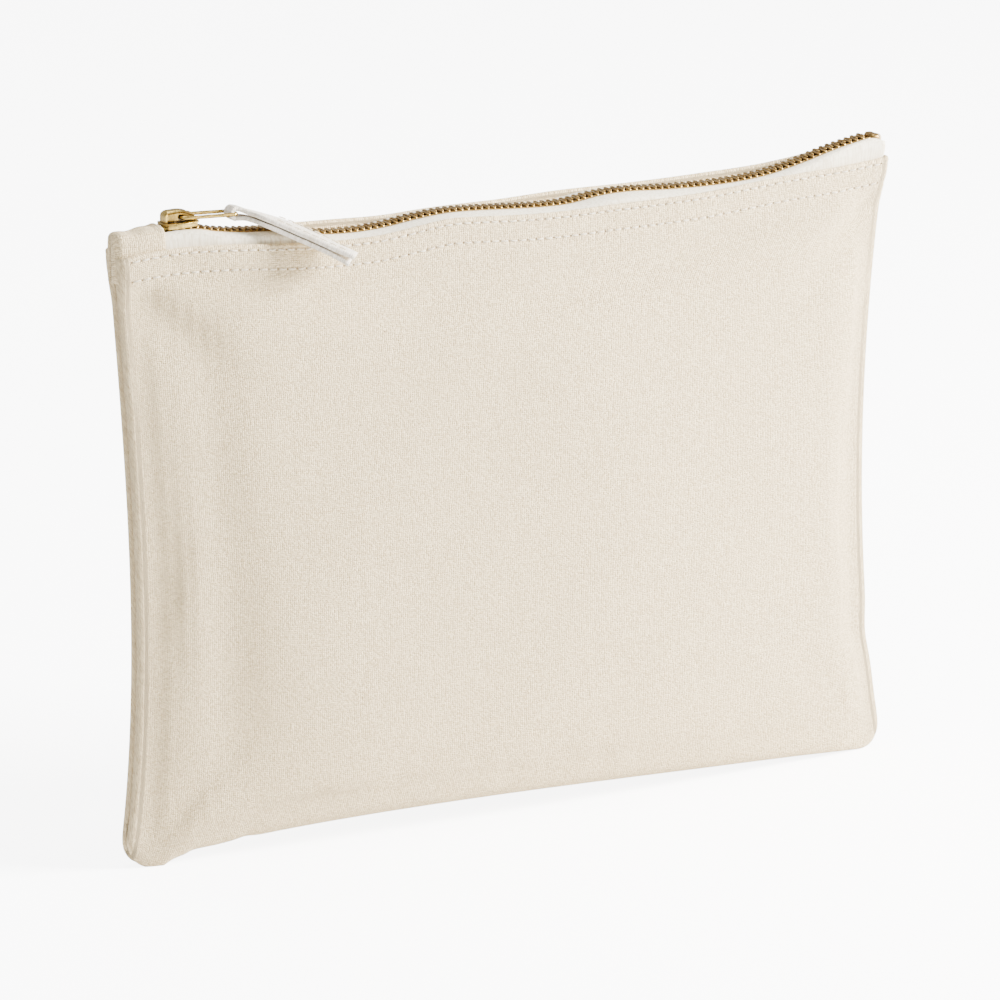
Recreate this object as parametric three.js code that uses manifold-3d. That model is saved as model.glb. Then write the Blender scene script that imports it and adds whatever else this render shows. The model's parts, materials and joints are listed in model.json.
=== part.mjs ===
// A zippered canvas pouch, in millimetres, +Z up.
// +X runs along the zip, from the end where the slider parks when shut. The front panel faces -Y.
// The origin is at the middle of the footprint, on the surface that the pouch stands on.
import * as THREE from "three";
import Module from "manifold-3d";
import { mergeVertices } from "three/addons/utils/BufferGeometryUtils.js";

const wasm = await Module();
wasm.setup();

// Pouch body
const POUCH_WIDTH = 250;
const POUCH_HEIGHT = 180;
const BELLY_DEPTH = 15.5; // from the seam plane to the fullest place of one panel
const BASE_DEPTH = 12.5; // the same, low down, over the rolled bottom edge
const MOUTH_DEPTH = 10.5; // the same, at the folded top edge, mid-width
const SIDE_PULL = 5.5; // how far the sides draw in at half height
const BOTTOM_ARCH = 5; // how far the bottom edge lifts between the two lower corners
const MOUTH_SAG = 4; // how far the top edge drops between the two upper corners
const CORNER_RADIUS = 9;
const CLOTH = 0.8;
const HEM = 12; // depth of the turned-in fold along the top edge
const SIDE_ROLL = 2.4; // radius of the rolled edge beside a side seam
const BASE_ROLL = 4.5; // radius of the rolled edge above the bottom seam
const FOOT_FLAT = 0.45; // how much of the roll is pressed flat where it stands
const FOOT_LENGTH = 12; // length of the flat stretch beside each lower corner
const BULGE_SIDEWAYS = { power: 3, ease: 0.6 }; // how squarely a panel bulges from side to side

// Seams
const SEAM_HALF = 0.5; // half the gap between the two panels in a seam
const ALLOWANCE = 10; // width of the cut edges inside
const THREAD = 0.4;
const OVERLOCK_WIDTH = 3.5;
const OVERLOCK_THICK = 0.3;
const CORNER_CLIP = 16; // how far the seam allowances stop short of a corner
const TOPSTITCH_DROPS = { upper: 1.2, lower: 6.8 };
const TOPSTITCH_SETBACK = 7; // how far a stitch row stops short of the side edge

// Zip
const CHAIN_STAND = 0.4; // mid-width, from the fold up to the middle of the teeth
const CHAIN_RISE = 6.6; // how far both ends of the chain stand higher
const END_FALL = 2; // how far the tapes drop again under the end cover
const CHAIN_WAVE = 0.8;
const WAVE_LENGTH = 52;
const WAVE_CREST = -22;
const WAVE_INSET = 63; // how far in from a side edge the wave has died out
const RISE_LEFT = { start: 62, end: 25.5 }; // insets from the side edge
const RISE_RIGHT = { start: 51, end: 13 };
const TAPE = 0.5;
const TAPE_DROP = 9; // how far the tape reaches down behind the fold
const TAPE_FOLD_DROP = 1.5; // how far under the fold the tape turns in towards the teeth
const TAPE_FOLD_IN = 0.5;
const TAPE_SETBACK = 5; // how far the tape ends stop short of the side edges
const TOOTH_PITCH = 2.1;
const TOOTH_LENGTH = 0.75; // along the zip
const TOOTH_REACH = 1.1; // past the middle of the zip
const TOOTH_HEIGHT = 2;
const BEAD_WIDTH = 0.7;
const BEAD_HEIGHT = 1.3;
const BEAD_INNER = 1.9; // from the middle of the zip to the bead
const STOP_LENGTH = 2.6;
const STOP_HEIGHT = 2.2;

// Slider
const PARK_INSET = 20; // from the side edge to its middle, when the zip is shut
const SLIDER_LENGTH = 11.5;
const SLIDER_WIDTH = 7.2;
const PLATE = 0.8;
const PLATE_GAP = 3; // between the upper and lower plates
const FLANGE = 0.8;
const TAPE_SLOT = 1.6;
const NECK_LENGTH = 3.2;
const NECK_WIDTH = 2.4;
const CAP_INSET = 0.75; // how far each end of the cap stops short of the plate's end
const CAP_WIDTH = 3.4;
const CAP_WALL = 0.6;
const CAP_ROOM = 2.6; // height of the room under the cap
const CAP_SHOULDER = 0.55; // share of the cap's height where its ends start to curve in
const CAP_CURVE = 3; // length of each curved end
const CAP_ROUND = 0.4;
const SPRING = 0.25;
const SPRING_WIDTH = 2;
const PIN_LENGTH = 0.8;

// Pull
const LINK_LENGTH = 17.2; // between the middles of its two end bars
const LINK_WIRE = 1.1;
const LINK_WIDTH = 6.4;
const LINK_CORNER = 1.2;
const LINK_DIP = THREE.MathUtils.degToRad(3);
const TAB_REACH = new THREE.Vector3(28, -19, -11); // from the link's far bar to the tab's end
const TAB_WIDE = 8.5;
const TAB_CLOTH = 1.2;
const TAB_LOOP = 1.9; // radius of the fold round the link, to the middle of the cloth
const TAB_FLARE = { from: 0.1, to: 0.55 }; // shares of its length between which it widens
const TAB_SWING = 1.2; // power of the sideways bend, as a share of the tab's length
const TAB_DROOP = 2.1; // power of the downward bend
const TAB_LOOP_SHARE = 0.2; // share of its length over which the loop closes
const LAYER_GAP = 0.5;
const TACK_THICK = 0.4;
const TACK_AT = 0.9; // share of the tab's length
const TACK_MARGIN = 1; // from the tack's end to the tab's edge
const TACK_STAND = 0.3;

// Fits
const CLEAR = 0.3; // between pieces that lie against each other
const RUN = 0.35; // between the slider's moving pieces

const BEAD_OUTER = BEAD_INNER + BEAD_WIDTH;
const TAPE_EDGE = BEAD_OUTER + CLEAR;
const TAB_NARROW = LINK_WIDTH - 2 * (LINK_WIRE + CLEAR);
const HALF_WIDTH = POUCH_WIDTH / 2;
const SLIDER_PARK = PARK_INSET - HALF_WIDTH;
const FOOT_INSET = CORNER_RADIUS + FOOT_LENGTH;
const TAPE_LEFT = -HALF_WIDTH + TAPE_SETBACK;
const TAPE_RIGHT = HALF_WIDTH - TAPE_SETBACK;
const TAPE_SPREAD = 2 * RUN; // length over which the tapes spread out again past the end cover
const COVER_RIGHT = SLIDER_PARK - SLIDER_LENGTH / 2 - TAPE_SPREAD - RUN;
const TAPES_SPREAD_AT = COVER_RIGHT + RUN + TAPE_SPREAD;

const material = (color, roughness, metalness = 0) =>
  new THREE.MeshStandardMaterial({ color, roughness, metalness });
const canvas = material(0xe6e0d4, 0.95);
const cotton = material(0xf3f2ec, 0.9);
const thread = material(0xefe8da, 0.85);
const brass = material(0xb8924a, 0.35, 1);
const brightBrass = material(0xd2ad5c, 0.28, 1);

// ---------- helpers ----------

const smooth = (t) => t * t * (3 - 2 * t);
const ramp = (value, from, to) => smooth(THREE.MathUtils.clamp((value - from) / (to - from), 0, 1));
const spread = (from, to, count) =>
  Array.from({ length: count + 1 }, (_, k) => from + ((to - from) * k) / count);

// Closed body between two grids of points that have the same rows and columns.
function bodyBetween(upper, lower) {
  const rows = upper.length;
  const columns = upper[0].length;
  const points = [...upper.flat(), ...lower.flat()];
  const at = (side, i, j) => side * rows * columns + i * columns + j;
  const index = [];
  const quad = (a, b, c, d) => index.push(a, b, c, a, c, d);
  for (let i = 0; i + 1 < rows; i += 1) {
    for (let j = 0; j + 1 < columns; j += 1) {
      quad(at(0, i, j), at(0, i + 1, j), at(0, i + 1, j + 1), at(0, i, j + 1));
      quad(at(1, i, j), at(1, i, j + 1), at(1, i + 1, j + 1), at(1, i + 1, j));
    }
    quad(at(0, i, 0), at(1, i, 0), at(1, i + 1, 0), at(0, i + 1, 0));
    const last = columns - 1;
    quad(at(0, i + 1, last), at(1, i + 1, last), at(1, i, last), at(0, i, last));
  }
  for (let j = 0; j + 1 < columns; j += 1) {
    quad(at(0, 0, j + 1), at(1, 0, j + 1), at(1, 0, j), at(0, 0, j));
    const last = rows - 1;
    quad(at(0, last, j), at(1, last, j), at(1, last, j + 1), at(0, last, j + 1));
  }
  const geometry = new THREE.BufferGeometry();
  const xyz = new Float32Array(points.flatMap((p) => [p.x, p.y, p.z]));
  geometry.setAttribute("position", new THREE.BufferAttribute(xyz, 3));
  geometry.setIndex(index);
  return facingOut(geometry);
}

// Turns a closed geometry's faces outward if its volume comes out negative.
function facingOut(geometry) {
  const p = geometry.attributes.position;
  const index = geometry.index.array;
  const corner = (k) => new THREE.Vector3().fromBufferAttribute(p, index[k]);
  let volume = 0;
  for (let k = 0; k < index.length; k += 3) {
    volume += corner(k).dot(corner(k + 1).cross(corner(k + 2)));
  }
  if (volume < 0) {
    for (let k = 0; k < index.length; k += 3) {
      [index[k + 1], index[k + 2]] = [index[k + 2], index[k + 1]];
    }
  }
  return geometry;
}

// The direction across a grid of points at each of its points.
function gridNormals(grid) {
  return grid.map((row, i) =>
    row.map((_, j) => {
      const along = grid[Math.min(i + 1, grid.length - 1)][j].clone();
      along.sub(grid[Math.max(i - 1, 0)][j]);
      const across = row[Math.min(j + 1, row.length - 1)].clone();
      across.sub(row[Math.max(j - 1, 0)]);
      return along.cross(across).normalize();
    }),
  );
}

// A sheet of cloth: the grid pushed out by `outer` and in by `inner`, which may be a function of i, j.
function sheet(grid, outer, inner) {
  const normals = gridNormals(grid);
  const value = (size, i, j) => (typeof size === "function" ? size(i, j) : size);
  const shift = (size, sign) =>
    grid.map((row, i) =>
      row.map((p, j) => p.clone().addScaledVector(normals[i][j], sign * value(size, i, j))),
    );
  return bodyBetween(shift(outer, 1), shift(inner, -1));
}

function toSolid(geometry) {
  const bare = geometry.clone();
  bare.deleteAttribute("normal");
  bare.deleteAttribute("uv");
  const merged = mergeVertices(bare, 1e-4);
  const vertProperties = new Float32Array(merged.attributes.position.array);
  const triVerts = new Uint32Array(merged.index.array);
  return new wasm.Manifold(new wasm.Mesh({ numProp: 3, vertProperties, triVerts }));
}

function toGeometry(solid) {
  const mesh = solid.getMesh();
  const geometry = new THREE.BufferGeometry();
  const xyz = new Float32Array(mesh.vertProperties);
  geometry.setAttribute("position", new THREE.BufferAttribute(xyz, 3));
  geometry.setIndex(Array.from(mesh.triVerts));
  return geometry;
}

const join = (...parts) => toGeometry(parts.map(toSolid).reduce((a, b) => a.add(b)));
const cut = (body, ...tools) =>
  toGeometry(tools.map(toSolid).reduce((a, b) => a.subtract(b), toSolid(body)));

// A box given by its lowest and highest corners.
function block(low, high) {
  const size = high.map((value, k) => value - low[k]);
  const geometry = new THREE.BoxGeometry(...size);
  return geometry.translate(...low.map((value, k) => value + size[k] / 2));
}

// A four-sided thread through the points, `thick` across. `side` points across it, square to Y.
function strand(points, thick, side = new THREE.Vector3(0, 0, 1)) {
  const half = thick / 2;
  const line = (dy, dz) =>
    points.map((p) => new THREE.Vector3(0, dy * half, 0).addScaledVector(side, dz * half).add(p));
  return bodyBetween([line(-1, 1), line(1, 1)], [line(-1, -1), line(1, -1)]);
}

const mirrorFront = (grid) => grid.map((row) => row.map((p) => new THREE.Vector3(p.x, -p.y, p.z)));
const forSide = (side, grid) => (side < 0 ? grid : mirrorFront(grid));

// ---------- shape of the pouch ----------

// Half the pouch's width at height z.
function halfWidth(z) {
  const up = THREE.MathUtils.clamp(z / POUCH_HEIGHT, 0, 1);
  return HALF_WIDTH - SIDE_PULL * Math.sin(Math.PI * up);
}

// Height of the bottom edge at x, with the rounded corner added near the sides.
function bottomEdge(x) {
  const into = Math.max(0, Math.abs(x) - (HALF_WIDTH - CORNER_RADIUS));
  const corner = CORNER_RADIUS - Math.sqrt(Math.max(0, CORNER_RADIUS ** 2 - into ** 2));
  return BOTTOM_ARCH * Math.max(0, 1 - (x / (HALF_WIDTH - FOOT_INSET)) ** 2) + corner;
}

// Height of the folded top edge at x.
const topEdge = (x) => POUCH_HEIGHT - MOUTH_SAG * (1 - Math.abs(x / HALF_WIDTH) ** 3);

// Height of the middle of the teeth at x.
function chainHeight(x) {
  const rise = x < 0 ? RISE_LEFT : RISE_RIGHT;
  const inset = HALF_WIDTH - Math.abs(x);
  const lift = CHAIN_RISE * ramp(inset, rise.start, rise.end);
  const fade = ramp(inset, WAVE_INSET, WAVE_INSET + WAVE_LENGTH / 4);
  const wave = CHAIN_WAVE * fade * Math.cos((2 * Math.PI * (x - WAVE_CREST)) / WAVE_LENGTH);
  const fall = END_FALL * ramp(x, COVER_RIGHT + RUN, TAPE_LEFT);
  return POUCH_HEIGHT - MOUTH_SAG + CHAIN_STAND + lift + wave - fall;
}

// The rolled edge beside a seam, as steps round an arc: inset from the edge and depth from the seam.
const ROLL_START = THREE.MathUtils.degToRad(-75);
const ROLL_STEPS = 5;
function rollArc(radius) {
  return spread(ROLL_START, Math.PI / 2, ROLL_STEPS).map((turn) => ({
    inset: radius * (1 - Math.cos(turn)),
    share: (Math.sin(turn) - Math.sin(ROLL_START)) / (1 - Math.sin(ROLL_START)),
  }));
}

// Depth of the panel past its rolled edges, at a share across (-1 to 1) and up (0 to 1).
const BELLY_AT = 0.35;
const EDGE_DEPTH = SIDE_ROLL * (1 - Math.sin(ROLL_START));
function fullness(across, up) {
  const climb = Math.sin((Math.PI / 2) * Math.min(1, up / BELLY_AT));
  const low = BASE_DEPTH + (BELLY_DEPTH - BASE_DEPTH) * climb;
  const middle = low + (MOUTH_DEPTH - SEAM_HALF - BELLY_DEPTH) * ramp(up, BELLY_AT, 1);
  const { power, ease } = BULGE_SIDEWAYS;
  return EDGE_DEPTH + (middle - EDGE_DEPTH) * (1 - Math.abs(across) ** power) ** ease;
}

// Steps across or up a panel: `inset` from an edge where it rolls, then even steps to the middle.
const SIDE_STEPS = 8;
const UP_STEPS = 9;
const HEM_STEPS = [0, 1];
const HEM_LEDGE = 0.5; // height over which the cloth goes from one layer to two
function sideSteps() {
  const roll = rollArc(SIDE_ROLL);
  const inner = [CORNER_RADIUS, ...spread(FOOT_INSET, HALF_WIDTH, SIDE_STEPS).slice(0, -1)];
  return [...roll, ...inner.map((inset) => ({ inset, share: 1 }))];
}
function panelColumns() {
  const left = sideSteps().map((step) => ({ ...step, side: -1 }));
  const right = sideSteps().map((step) => ({ ...step, side: 1 }));
  return [...left, { inset: HALF_WIDTH, share: 1, side: -1 }, ...right.reverse()];
}
function panelRows() {
  const roll = rollArc(BASE_ROLL).map((step) => ({ rise: step.inset, share: step.share }));
  const plain = spread(BASE_ROLL, POUCH_HEIGHT - HEM, UP_STEPS).slice(1);
  return [...roll, ...plain.map((rise) => ({ rise, share: 1 }))];
}

// A point of the front panel's outer face.
function panelPoint(column, height, share) {
  const reach = Math.max(0, halfWidth(height) - column.inset * (halfWidth(height) / HALF_WIDTH));
  const x = column.side * (column.inset < SIDE_ROLL ? halfWidth(height) - column.inset : reach);
  const full = fullness(x / halfWidth(height), height / POUCH_HEIGHT);
  return new THREE.Vector3(x, -SEAM_HALF - column.share * share * full, height);
}

function panelGrid() {
  return panelColumns().map((column) => {
    const plainX = column.side * (HALF_WIDTH - column.inset);
    const foot = bottomEdge(plainX);
    const top = topEdge(plainX);
    const hemLow = top - HEM;
    const stretch = (hemLow - foot) / (POUCH_HEIGHT - HEM);
    const rows = panelRows().map((row) => {
      const rise = row.rise <= BASE_ROLL ? row.rise : BASE_ROLL + (row.rise - BASE_ROLL) * stretch;
      const z = foot + (rise < FOOT_FLAT ? 0 : rise);
      return { z: row.rise < POUCH_HEIGHT - HEM ? z : hemLow, share: row.share };
    });
    const hem = HEM_STEPS.map((step) => ({ z: hemLow + HEM_LEDGE + step * (HEM - HEM_LEDGE), share: 1 }));
    return [...rows, ...hem].map((row) => panelPoint(column, row.z, row.share));
  });
}

// Depth of the mouth's outer face at x, from the seam plane.
const mouthDepth = (x) => SEAM_HALF + fullness(x / HALF_WIDTH, topEdge(x) / POUCH_HEIGHT);
const hemInside = (x) => mouthDepth(x) - 2 * CLOTH;

// A strip that follows a seam: `inset` values run in from the edge, at a fixed depth y.
const SEAM_STEPS = 12;
const baseSeam = BASE_ROLL * (1 - Math.cos(ROLL_START));
const sideSeam = SIDE_ROLL * (1 - Math.cos(ROLL_START));
function seamPath(where, inset, y) {
  if (where === "bottom") {
    const end = HALF_WIDTH - CORNER_CLIP - ALLOWANCE;
    const height = (x) => bottomEdge(x) + baseSeam + inset;
    return spread(-end, end, SEAM_STEPS).map((x) => new THREE.Vector3(x, y, height(x)));
  }
  const side = where === "left" ? -1 : 1;
  const top = topEdge(HALF_WIDTH) - HEM - CLEAR;
  return spread(CORNER_CLIP, top, SEAM_STEPS).map(
    (z) => new THREE.Vector3(side * (halfWidth(z) - sideSeam - inset), y, z),
  );
}

const SEAMS = ["left", "right", "bottom"];
const SEAM_MIN = 0.05; // least depth that the cloth keeps behind the seam plane
const TUCK = 0.2; // how far an allowance runs into the rolled edge it belongs to

function allowance(where, side) {
  const strip = (y) => [seamPath(where, -TUCK, y), seamPath(where, ALLOWANCE, y)];
  return bodyBetween(strip(side * SEAM_HALF), strip(side * (SEAM_HALF + CLOTH)));
}

function panel(side) {
  const grid = forSide(side, panelGrid());
  const hemRow = grid[0].length - HEM_STEPS.length;
  const normals = gridNormals(grid);
  const lining = grid.map((row, i) =>
    row.map((p, j) => {
      const thick = j >= hemRow ? 2 * CLOTH : CLOTH;
      const inner = p.clone().addScaledVector(normals[i][j], side * thick);
      inner.y = side * Math.max(side * inner.y, SEAM_HALF + SEAM_MIN);
      return inner;
    }),
  );
  const shell = bodyBetween(grid, lining);
  return join(shell, ...SEAMS.map((where) => allowance(where, side)));
}

// ---------- zip ----------

const TAPE_STEPS = 40;
const COVER_STEPS = 4;
const coverStations = spread(TAPE_LEFT, COVER_RIGHT, COVER_STEPS);
const COVER_ROOM = CLOTH + 2 * CLEAR; // the tapes leave this much for the end cover
function tapeOuter(x) {
  const room = COVER_ROOM * (1 - ramp(x, COVER_RIGHT + RUN, TAPES_SPREAD_AT));
  return hemInside(x) - CLEAR - room - TAPE / 2;
}
function tape(side) {
  const open = spread(TAPES_SPREAD_AT, TAPE_RIGHT, TAPE_STEPS);
  const rows = [...coverStations, COVER_RIGHT + RUN, ...open].map((x) => {
    const outer = tapeOuter(x);
    const chain = chainHeight(x);
    const fold = Math.min(topEdge(x), chain) - TAPE_FOLD_DROP;
    const path = [
      [outer, topEdge(x) - TAPE_DROP],
      [outer, fold],
      [Math.max(outer - TAPE_FOLD_IN, TAPE_EDGE), chain - TAPE_FOLD_IN / 2],
      [TAPE_EDGE, chain],
    ];
    return path.map(([y, z]) => new THREE.Vector3(x, side * y, z));
  });
  return sheet(rows, TAPE / 2, TAPE / 2);
}

// One side's teeth on their bead, as a comb that follows the chain.
const TEETH_START = SLIDER_PARK - SLIDER_LENGTH / 2 + NECK_LENGTH + 2 * RUN;
const TEETH_END = TAPE_RIGHT - STOP_LENGTH - 2 * RUN;
const BEAD_STEPS = 44;
function teeth(side) {
  const shift = side < 0 ? 0 : TOOTH_PITCH / 2;
  const count = Math.floor((TEETH_END - TEETH_START - TOOTH_PITCH / 2) / TOOTH_PITCH);
  const starts = Array.from({ length: count }, (_, k) => TEETH_START + shift + k * TOOTH_PITCH);
  const spine = spread(starts[0], starts[count - 1] + TOOTH_LENGTH, BEAD_STEPS);
  const bead = (dz) => {
    const line = (y) => spine.map((x) => new THREE.Vector3(x, side * y, chainHeight(x) + dz));
    return [line(BEAD_INNER), line(BEAD_OUTER)];
  };
  const cord = bodyBetween(bead(BEAD_HEIGHT / 2), bead(-BEAD_HEIGHT / 2));
  const ends = [side * (BEAD_INNER + BEAD_WIDTH / 2), -side * TOOTH_REACH];
  const half = TOOTH_HEIGHT / 2;
  const each = starts.map((x) => {
    const z = chainHeight(x + TOOTH_LENGTH / 2);
    return block([x, Math.min(...ends), z - half], [x + TOOTH_LENGTH, Math.max(...ends), z + half]);
  });
  return join(cord, ...each);
}

// A metal clip that ends the chain, closed over the bead's tape edge.
function stop(x, low, high) {
  const z = chainHeight(x + STOP_LENGTH / 2);
  return block([x, low, z - STOP_HEIGHT / 2], [x + STOP_LENGTH, high, z + STOP_HEIGHT / 2]);
}
const TOP_STOP_X = COVER_RIGHT - RUN - STOP_LENGTH;
const topStop = (side) => {
  const edges = [side * CLEAR, side * (TAPE_EDGE - CLEAR)];
  return stop(TOP_STOP_X, Math.min(...edges), Math.max(...edges));
};
const bottomStop = () => stop(TAPE_RIGHT - STOP_LENGTH, -(TAPE_EDGE - CLEAR), TAPE_EDGE - CLEAR);

// Canvas folded over the zip's end, from inside one fold to inside the other.
const COVER_BEND = 0.5; // how far its crown is lower towards the sides
const COVER_SHOULDER = 2; // where its sides turn upright, below the crown
const COVER_FLAT = 0.7; // share of its width that lies nearly flat
const COVER_CROWN = STOP_HEIGHT / 2 + CLEAR + CLOTH + COVER_BEND; // above the middle of the teeth
function endCover() {
  const rows = coverStations.map((x) => {
    const outer = hemInside(x) - CLEAR;
    const low = topEdge(x) - TAPE_DROP;
    const high = chainHeight(x) + COVER_CROWN;
    const path = [
      [-outer, low],
      [-outer, high - COVER_SHOULDER],
      [-outer * COVER_FLAT, high - COVER_BEND],
      [0, high],
      [outer * COVER_FLAT, high - COVER_BEND],
      [outer, high - COVER_SHOULDER],
      [outer, low],
    ];
    return path.map(([y, z]) => new THREE.Vector3(x, y, z));
  });
  return sheet(rows, 0, CLOTH);
}

// ---------- stitching ----------

const STITCH_STEPS = 36;
function topstitch(side, drop) {
  const end = HALF_WIDTH - TOPSTITCH_SETBACK;
  const points = spread(-end, end, STITCH_STEPS).map((x) => {
    const z = topEdge(x) - drop;
    const depth = SEAM_HALF + fullness(x / halfWidth(z), z / POUCH_HEIGHT) + CLEAR + THREAD;
    return new THREE.Vector3(x, side * depth, z);
  });
  return strand(points, THREAD);
}

function seamThread(where) {
  const across = where === "bottom" ? new THREE.Vector3(0, 0, 1) : new THREE.Vector3(1, 0, 0);
  return strand(seamPath(where, ALLOWANCE / 4, 0), THREAD, across);
}

// Thread wrapped over both cut edges.
function overlock(where) {
  const y = SEAM_HALF + CLOTH + CLEAR + OVERLOCK_THICK / 2;
  const outerEdge = ALLOWANCE + CLEAR + OVERLOCK_THICK / 2;
  const innerEdge = ALLOWANCE - OVERLOCK_WIDTH;
  const lines = [
    seamPath(where, innerEdge, -y),
    seamPath(where, outerEdge, -y),
    seamPath(where, outerEdge, y),
    seamPath(where, innerEdge, y),
  ];
  return sheet(lines, OVERLOCK_THICK / 2, OVERLOCK_THICK / 2);
}

// ---------- slider and pull ----------

const sliderZ = chainHeight(SLIDER_PARK);
const plateTop = PLATE_GAP / 2 + PLATE;
const dipRoom = (SLIDER_LENGTH / 2) * Math.sin(LINK_DIP);
const pivotZ = sliderZ + plateTop + LINK_WIRE / 2 + RUN + dipRoom;

function sliderBody() {
  const [halfLong, halfWide] = [SLIDER_LENGTH / 2, SLIDER_WIDTH / 2];
  const x0 = SLIDER_PARK - halfLong;
  const x1 = SLIDER_PARK + halfLong;
  const slab = (low, high) => block([x0, -halfWide, sliderZ + low], [x1, halfWide, sliderZ + high]);
  const upper = slab(PLATE_GAP / 2, plateTop);
  const lower = slab(-plateTop, -PLATE_GAP / 2);
  const flange = (side, low, high) => {
    const edges = [side * halfWide, side * (halfWide - FLANGE)];
    return block([x0, Math.min(...edges), sliderZ + low], [x1, Math.max(...edges), sliderZ + high]);
  };
  const flanges = [-1, 1].flatMap((side) => [
    flange(side, TAPE_SLOT / 2, plateTop),
    flange(side, -plateTop, -TAPE_SLOT / 2),
  ]);
  const neck = block(
    [x0, -NECK_WIDTH / 2, sliderZ - plateTop],
    [x0 + NECK_LENGTH, NECK_WIDTH / 2, sliderZ + plateTop],
  );
  const pinHalf = PIN_LENGTH / 2 + CLEAR;
  const pinHole = block(
    [pinX - pinHalf, -SPRING_WIDTH / 2 - CLEAR, sliderZ],
    [pinX + pinHalf, SPRING_WIDTH / 2 + CLEAR, sliderZ + plateTop + 1],
  );
  return cut(join(upper, lower, neck, ...flanges), pinHole);
}

// The arched cap that holds the link and covers the lock spring.
const capX0 = SLIDER_PARK - SLIDER_LENGTH / 2 + CAP_INSET;
const capX1 = SLIDER_PARK + SLIDER_LENGTH / 2 - CAP_INSET;
const capFoot = sliderZ + plateTop + CLEAR;
function sliderCap() {
  const height = CAP_ROOM + CAP_WALL;
  const shoulder = height * CAP_SHOULDER;
  const side = new THREE.Shape();
  side.moveTo(capX0, 0);
  side.lineTo(capX1, 0);
  side.lineTo(capX1, shoulder);
  side.quadraticCurveTo(capX1 - CAP_ROUND, height, capX1 - CAP_CURVE, height);
  side.lineTo(capX0 + CAP_CURVE, height);
  side.quadraticCurveTo(capX0 + CAP_ROUND, height, capX0, shoulder);
  side.closePath();
  const room = new THREE.Path();
  room.moveTo(capX0 + CAP_WALL, CAP_WALL / 2);
  room.lineTo(capX0 + CAP_WALL, shoulder);
  room.lineTo(capX0 + 2 * CAP_WALL, CAP_ROOM);
  room.lineTo(capX1 - 2 * CAP_WALL, CAP_ROOM);
  room.lineTo(capX1 - CAP_WALL, shoulder);
  room.lineTo(capX1 - CAP_WALL, -1);
  room.lineTo(capX0 + CAP_WALL, -1);
  room.closePath();
  const extrude = (outline, width) => {
    const options = { depth: width, bevelEnabled: false, curveSegments: 5 };
    const solid = new THREE.ExtrudeGeometry(outline, options);
    return solid.rotateX(Math.PI / 2).translate(0, width / 2, capFoot);
  };
  const hollow = new THREE.Shape(room.getPoints());
  return cut(extrude(side, CAP_WIDTH), extrude(hollow, CAP_WIDTH + 1));
}

// Leaf spring under the cap, with the pin that reaches down between the teeth.
const pinX = capX1 - CAP_WALL - RUN - PIN_LENGTH;
function lockSpring() {
  const top = capFoot + CAP_ROOM - CLEAR;
  const half = SPRING_WIDTH / 2;
  const pinEnd = pinX + PIN_LENGTH / 2;
  const leaf = block([capX0 + 2 * CAP_WALL + CLEAR, -half, top - SPRING], [pinEnd, half, top]);
  const tip = sliderZ + TOOTH_HEIGHT / 2 + RUN;
  const pin = block([pinEnd - PIN_LENGTH, -half, tip], [pinEnd, half, top - SPRING / 2]);
  return join(leaf, pin);
}

// A wire loop whose near bar turns under the cap.
function pullLink() {
  const half = LINK_WIRE / 2;
  const outline = (grow) => {
    const path = new THREE.Shape();
    const corner = LINK_CORNER;
    const x0 = -grow;
    const x1 = LINK_LENGTH + grow;
    const y = LINK_WIDTH / 2 - half + grow;
    path.moveTo(x0 + corner, -y);
    path.lineTo(x1 - corner, -y);
    path.quadraticCurveTo(x1, -y, x1, -y + corner);
    path.lineTo(x1, y - corner);
    path.quadraticCurveTo(x1, y, x1 - corner, y);
    path.lineTo(x0 + corner, y);
    path.quadraticCurveTo(x0, y, x0, y - corner);
    path.lineTo(x0, -y + corner);
    path.quadraticCurveTo(x0, -y, x0 + corner, -y);
    return path;
  };
  const shape = outline(half);
  shape.holes.push(outline(-half));
  const options = { depth: LINK_WIRE, bevelEnabled: false, curveSegments: 4 };
  return new THREE.ExtrudeGeometry(shape, options).translate(0, 0, -half);
}

// The folded strip: out along its upper layer, round the link's far bar and back along the lower one.
const TAB_STEPS = 10;
function tabCentre(share) {
  const end = TAB_REACH;
  return new THREE.Vector3(end.x * share, end.y * share ** TAB_SWING, end.z * share ** TAB_DROOP);
}
function tabWidth(share) {
  return TAB_NARROW + (TAB_WIDE - TAB_NARROW) * ramp(share, TAB_FLARE.from, TAB_FLARE.to);
}
function pullTab() {
  const closed = (LAYER_GAP + TAB_CLOTH) / 2;
  const apart = (share) => closed + (TAB_LOOP - closed) * (1 - ramp(share, 0, TAB_LOOP_SHARE));
  const layer = (share, sign) => ({
    at: tabCentre(share).add(new THREE.Vector3(0, 0, sign * apart(share))),
    half: tabWidth(share) / 2,
  });
  const out = spread(1, 0, TAB_STEPS).map((share) => layer(share, 1));
  const turn = spread(90, 270, 6).slice(1, -1).map((degrees) => {
    const angle = THREE.MathUtils.degToRad(degrees);
    const at = new THREE.Vector3(TAB_LOOP * Math.cos(angle), 0, TAB_LOOP * Math.sin(angle));
    return { at, half: TAB_NARROW / 2 };
  });
  const back = spread(0, 1, TAB_STEPS).map((share) => layer(share, -1));
  const rows = [...out, ...turn, ...back].map(({ at, half }) =>
    [-half, half].map((dy) => new THREE.Vector3(0, dy, 0).add(at)),
  );
  return sheet(rows, TAB_CLOTH / 2, TAB_CLOTH / 2);
}

function tabTack() {
  const at = tabCentre(TACK_AT);
  const lift = LAYER_GAP / 2 + TAB_CLOTH + CLEAR + TACK_THICK + TACK_STAND;
  const half = tabWidth(TACK_AT) / 2 - TACK_MARGIN;
  return block(
    [at.x - TACK_THICK, at.y - half, at.z + lift],
    [at.x + TACK_THICK, at.y + half, at.z + lift + TACK_THICK],
  );
}

// ---------- assembly ----------

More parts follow.
